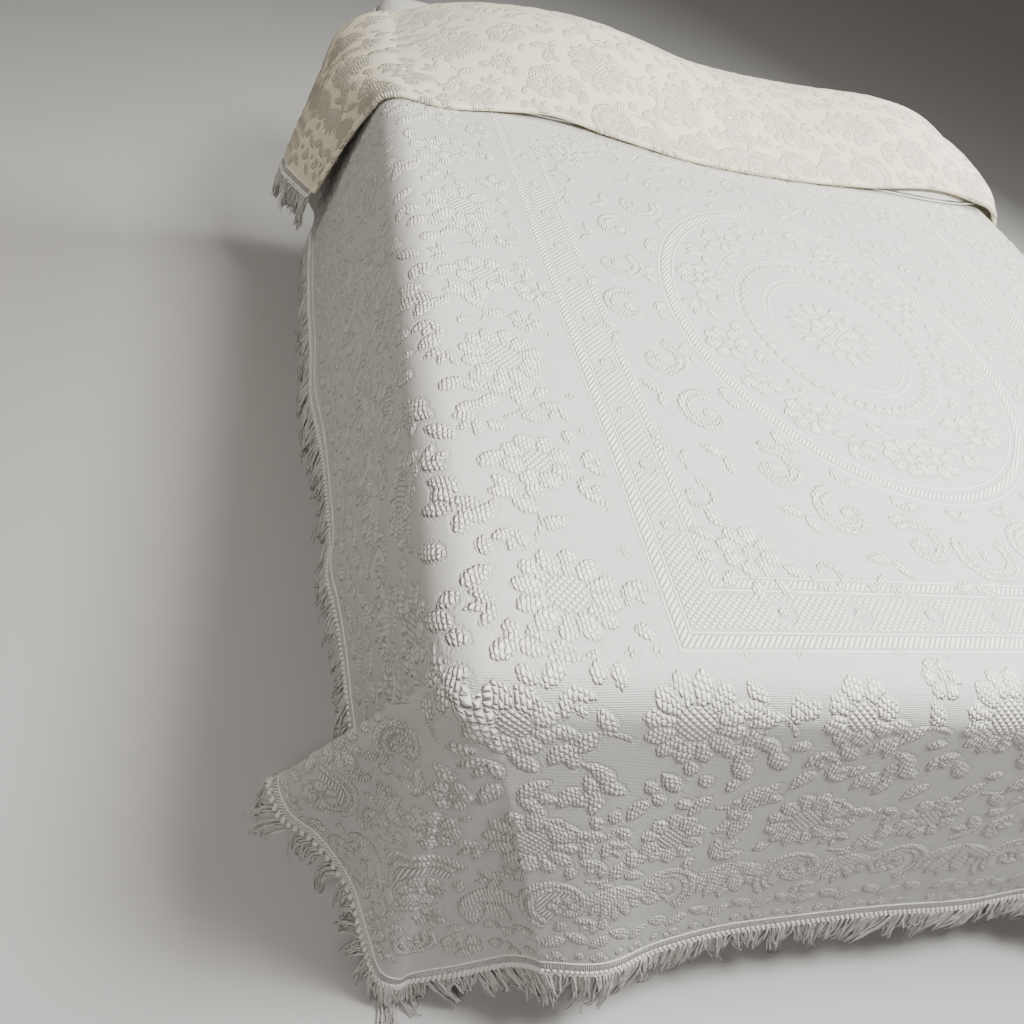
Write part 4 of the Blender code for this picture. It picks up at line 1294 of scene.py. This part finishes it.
def fallen(root, first_way, last_way, outward, length, low):
    """A yarn's path, bending from the first way to the last, and laid outward on the floor."""
    path = [root]
    for k in range(YARN_STEPS - 1):
        way = first_way + (last_way - first_way) * (k / (YARN_STEPS - 2)) ** 0.7
        way = way / np.linalg.norm(way) * length / (YARN_STEPS - 1)
        sunk = path[-1][2] + way[2] - low
        if sunk < 0:
            level = way + outward * min(-sunk, length / (YARN_STEPS - 1))
            way = np.array((level[0], level[1], way[2] - sunk))
        path.append(path[-1] + way)
    return np.array(path)


def locks(start, end, limp, chance):
    """The locks: thick yarns gathered towards a tip, and a few loose threads in loops."""
    count = max(1, round((end - start) / LOCK_PITCH))
    pitch = (end - start) / count
    point, way, away, run = edge_at(start + pitch * (np.arange(count) + 0.5))
    drift = 0.0
    thick, thin = [], []
    for k in range(count):
        drift = 0.45 * drift + chance.uniform(-0.45, 0.45)
        first_way = way[k] + away[k] * 0.10 + run[k] * 0.5 * drift
        last_way = way[k] * (1 - limp) + np.array((0, 0, -limp)) + run[k] * drift
        level = way[k] * (1, 1, 0)
        outward_way = unit(level / max(math.hypot(*level[:2]), 1e-6) + (0.0, -0.9, 0.0))
        near_floor = 1 - min(point[k][2] / NEAR_FLOOR, 1.0)
        length = LOCK_LENGTH * chance.uniform(0.62, 1.18) * (1 + 0.55 * near_floor)
        gather = chance.uniform(0.25, 0.75)
        yarns = round(LOCK_YARNS * (1 + 0.7 * near_floor))
        for s in range(yarns + LOOSE_THREADS):
            loose = s >= yarns
            across = chance.uniform(-0.5, 0.5) if loose else (s + 0.5) / yarns - 0.5
            root = (point[k] + run[k] * across * pitch * 1.1 + way[k] * (HEADING_WIDTH + 0.013)
                    + away[k] * chance.uniform(-0.0040, 0.0040))
            own = length * chance.uniform(0.70, 1.0) * (1.2 if loose else 1.0)
            low = FLOOR_CLEAR + 0.006 * chance.random()
            path = fallen(root, first_way, last_way, outward_way, own, low)
            t = np.linspace(0, 1, YARN_STEPS)[:, None]
            path -= run[k] * (across * pitch * gather) * t
            turn = chance.uniform(0, 6.28)
            swing = (0.010 if loose else 0.0040) * chance.uniform(0.4, 1.2)
            path += run[k] * np.sin(turn + t * chance.uniform(4, 8)) * swing * t
            path += away[k] * np.cos(turn + t * chance.uniform(4, 8)) * swing * t
            path[:, 2] = np.maximum(path[:, 2], FLOOR_CLEAR)
            (thin if loose else thick).append(path)
    return [twisted(thick, YARN_RADII, 4), twisted(thin, THREAD_RADII, 3)]


def twisted(paths, radii, sides):
    """Yarns along paths, and for each face corner how far round and along its yarn it lies."""
    points, faces = tubes(paths, radii, sides, YARN_BESIDE)
    lay = []
    for y in range(len(paths)):
        for k in range(YARN_STEPS - 1):
            near, far = LAY_STEP * k, LAY_STEP * (k + 1)
            for s in range(sides):
                left, right = s / sides + LAY_SHIFT * y, (s + 1) / sides + LAY_SHIFT * y
                lay += [(left, near), (left, far), (right, far), (right, near)]
        lay += [(LAY_SHIFT * y, 0.0)] * (2 * sides)
    return points, faces, lay


left_fold = float(across_bed(FOLD_LINE, np.array([-HALF_WIDTH]))[0])
right_fold = float(across_bed(FOLD_LINE, np.array([HALF_WIDTH]))[0])
foot_end = up_the_side(FOOT_FRINGE_UP)
runs = [
    # name, start, end, how far the locks hang straight down
    ("foot", -foot_end, foot_end, 0.80),
    ("left", -up_the_side(left_fold - FRINGE_CLEAR), -foot_end - FRINGE_GAP, 0.72),
    ("right", foot_end + FRINGE_GAP, up_the_side(right_fold - FRINGE_CLEAR), 0.72),
    ("over_left", -hem_end, -up_the_side(left_fold + FOLD_LENGTH + FRINGE_CLEAR), 0.45),
    ("over_right", up_the_side(right_fold + FOLD_LENGTH + FRINGE_CLEAR), hem_end, 0.45),
]
luck = random.Random(11)
trims = [rolled_edge]
for name, start, end, limp in runs:
    head = piece_of_yarn("fringe_" + name + "_heading", [heading(start, end)], braid)
    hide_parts("fringe_" + name)
    parts = [knots(start, end)] + locks(start, end, limp, luck)
    trims += [head, piece_of_yarn("fringe_" + name + "_locks", parts, yarn)]

# The flat size of each block of the cloth is worked out, less the two round corners of the foot
# fall.
for name, columns, rows, is_face in blocks:
    wide = across_lines[columns[1]] - across_lines[columns[0]]
    long = along_lines[rows[1]] - along_lines[rows[0]]
    is_foot = name == "bedspread_foot_fall"
    cut_off = 2 * (1 - math.pi / 4) * CORNER_ROUND ** 2 if is_foot else 0.0
    float(wide * long - cut_off)
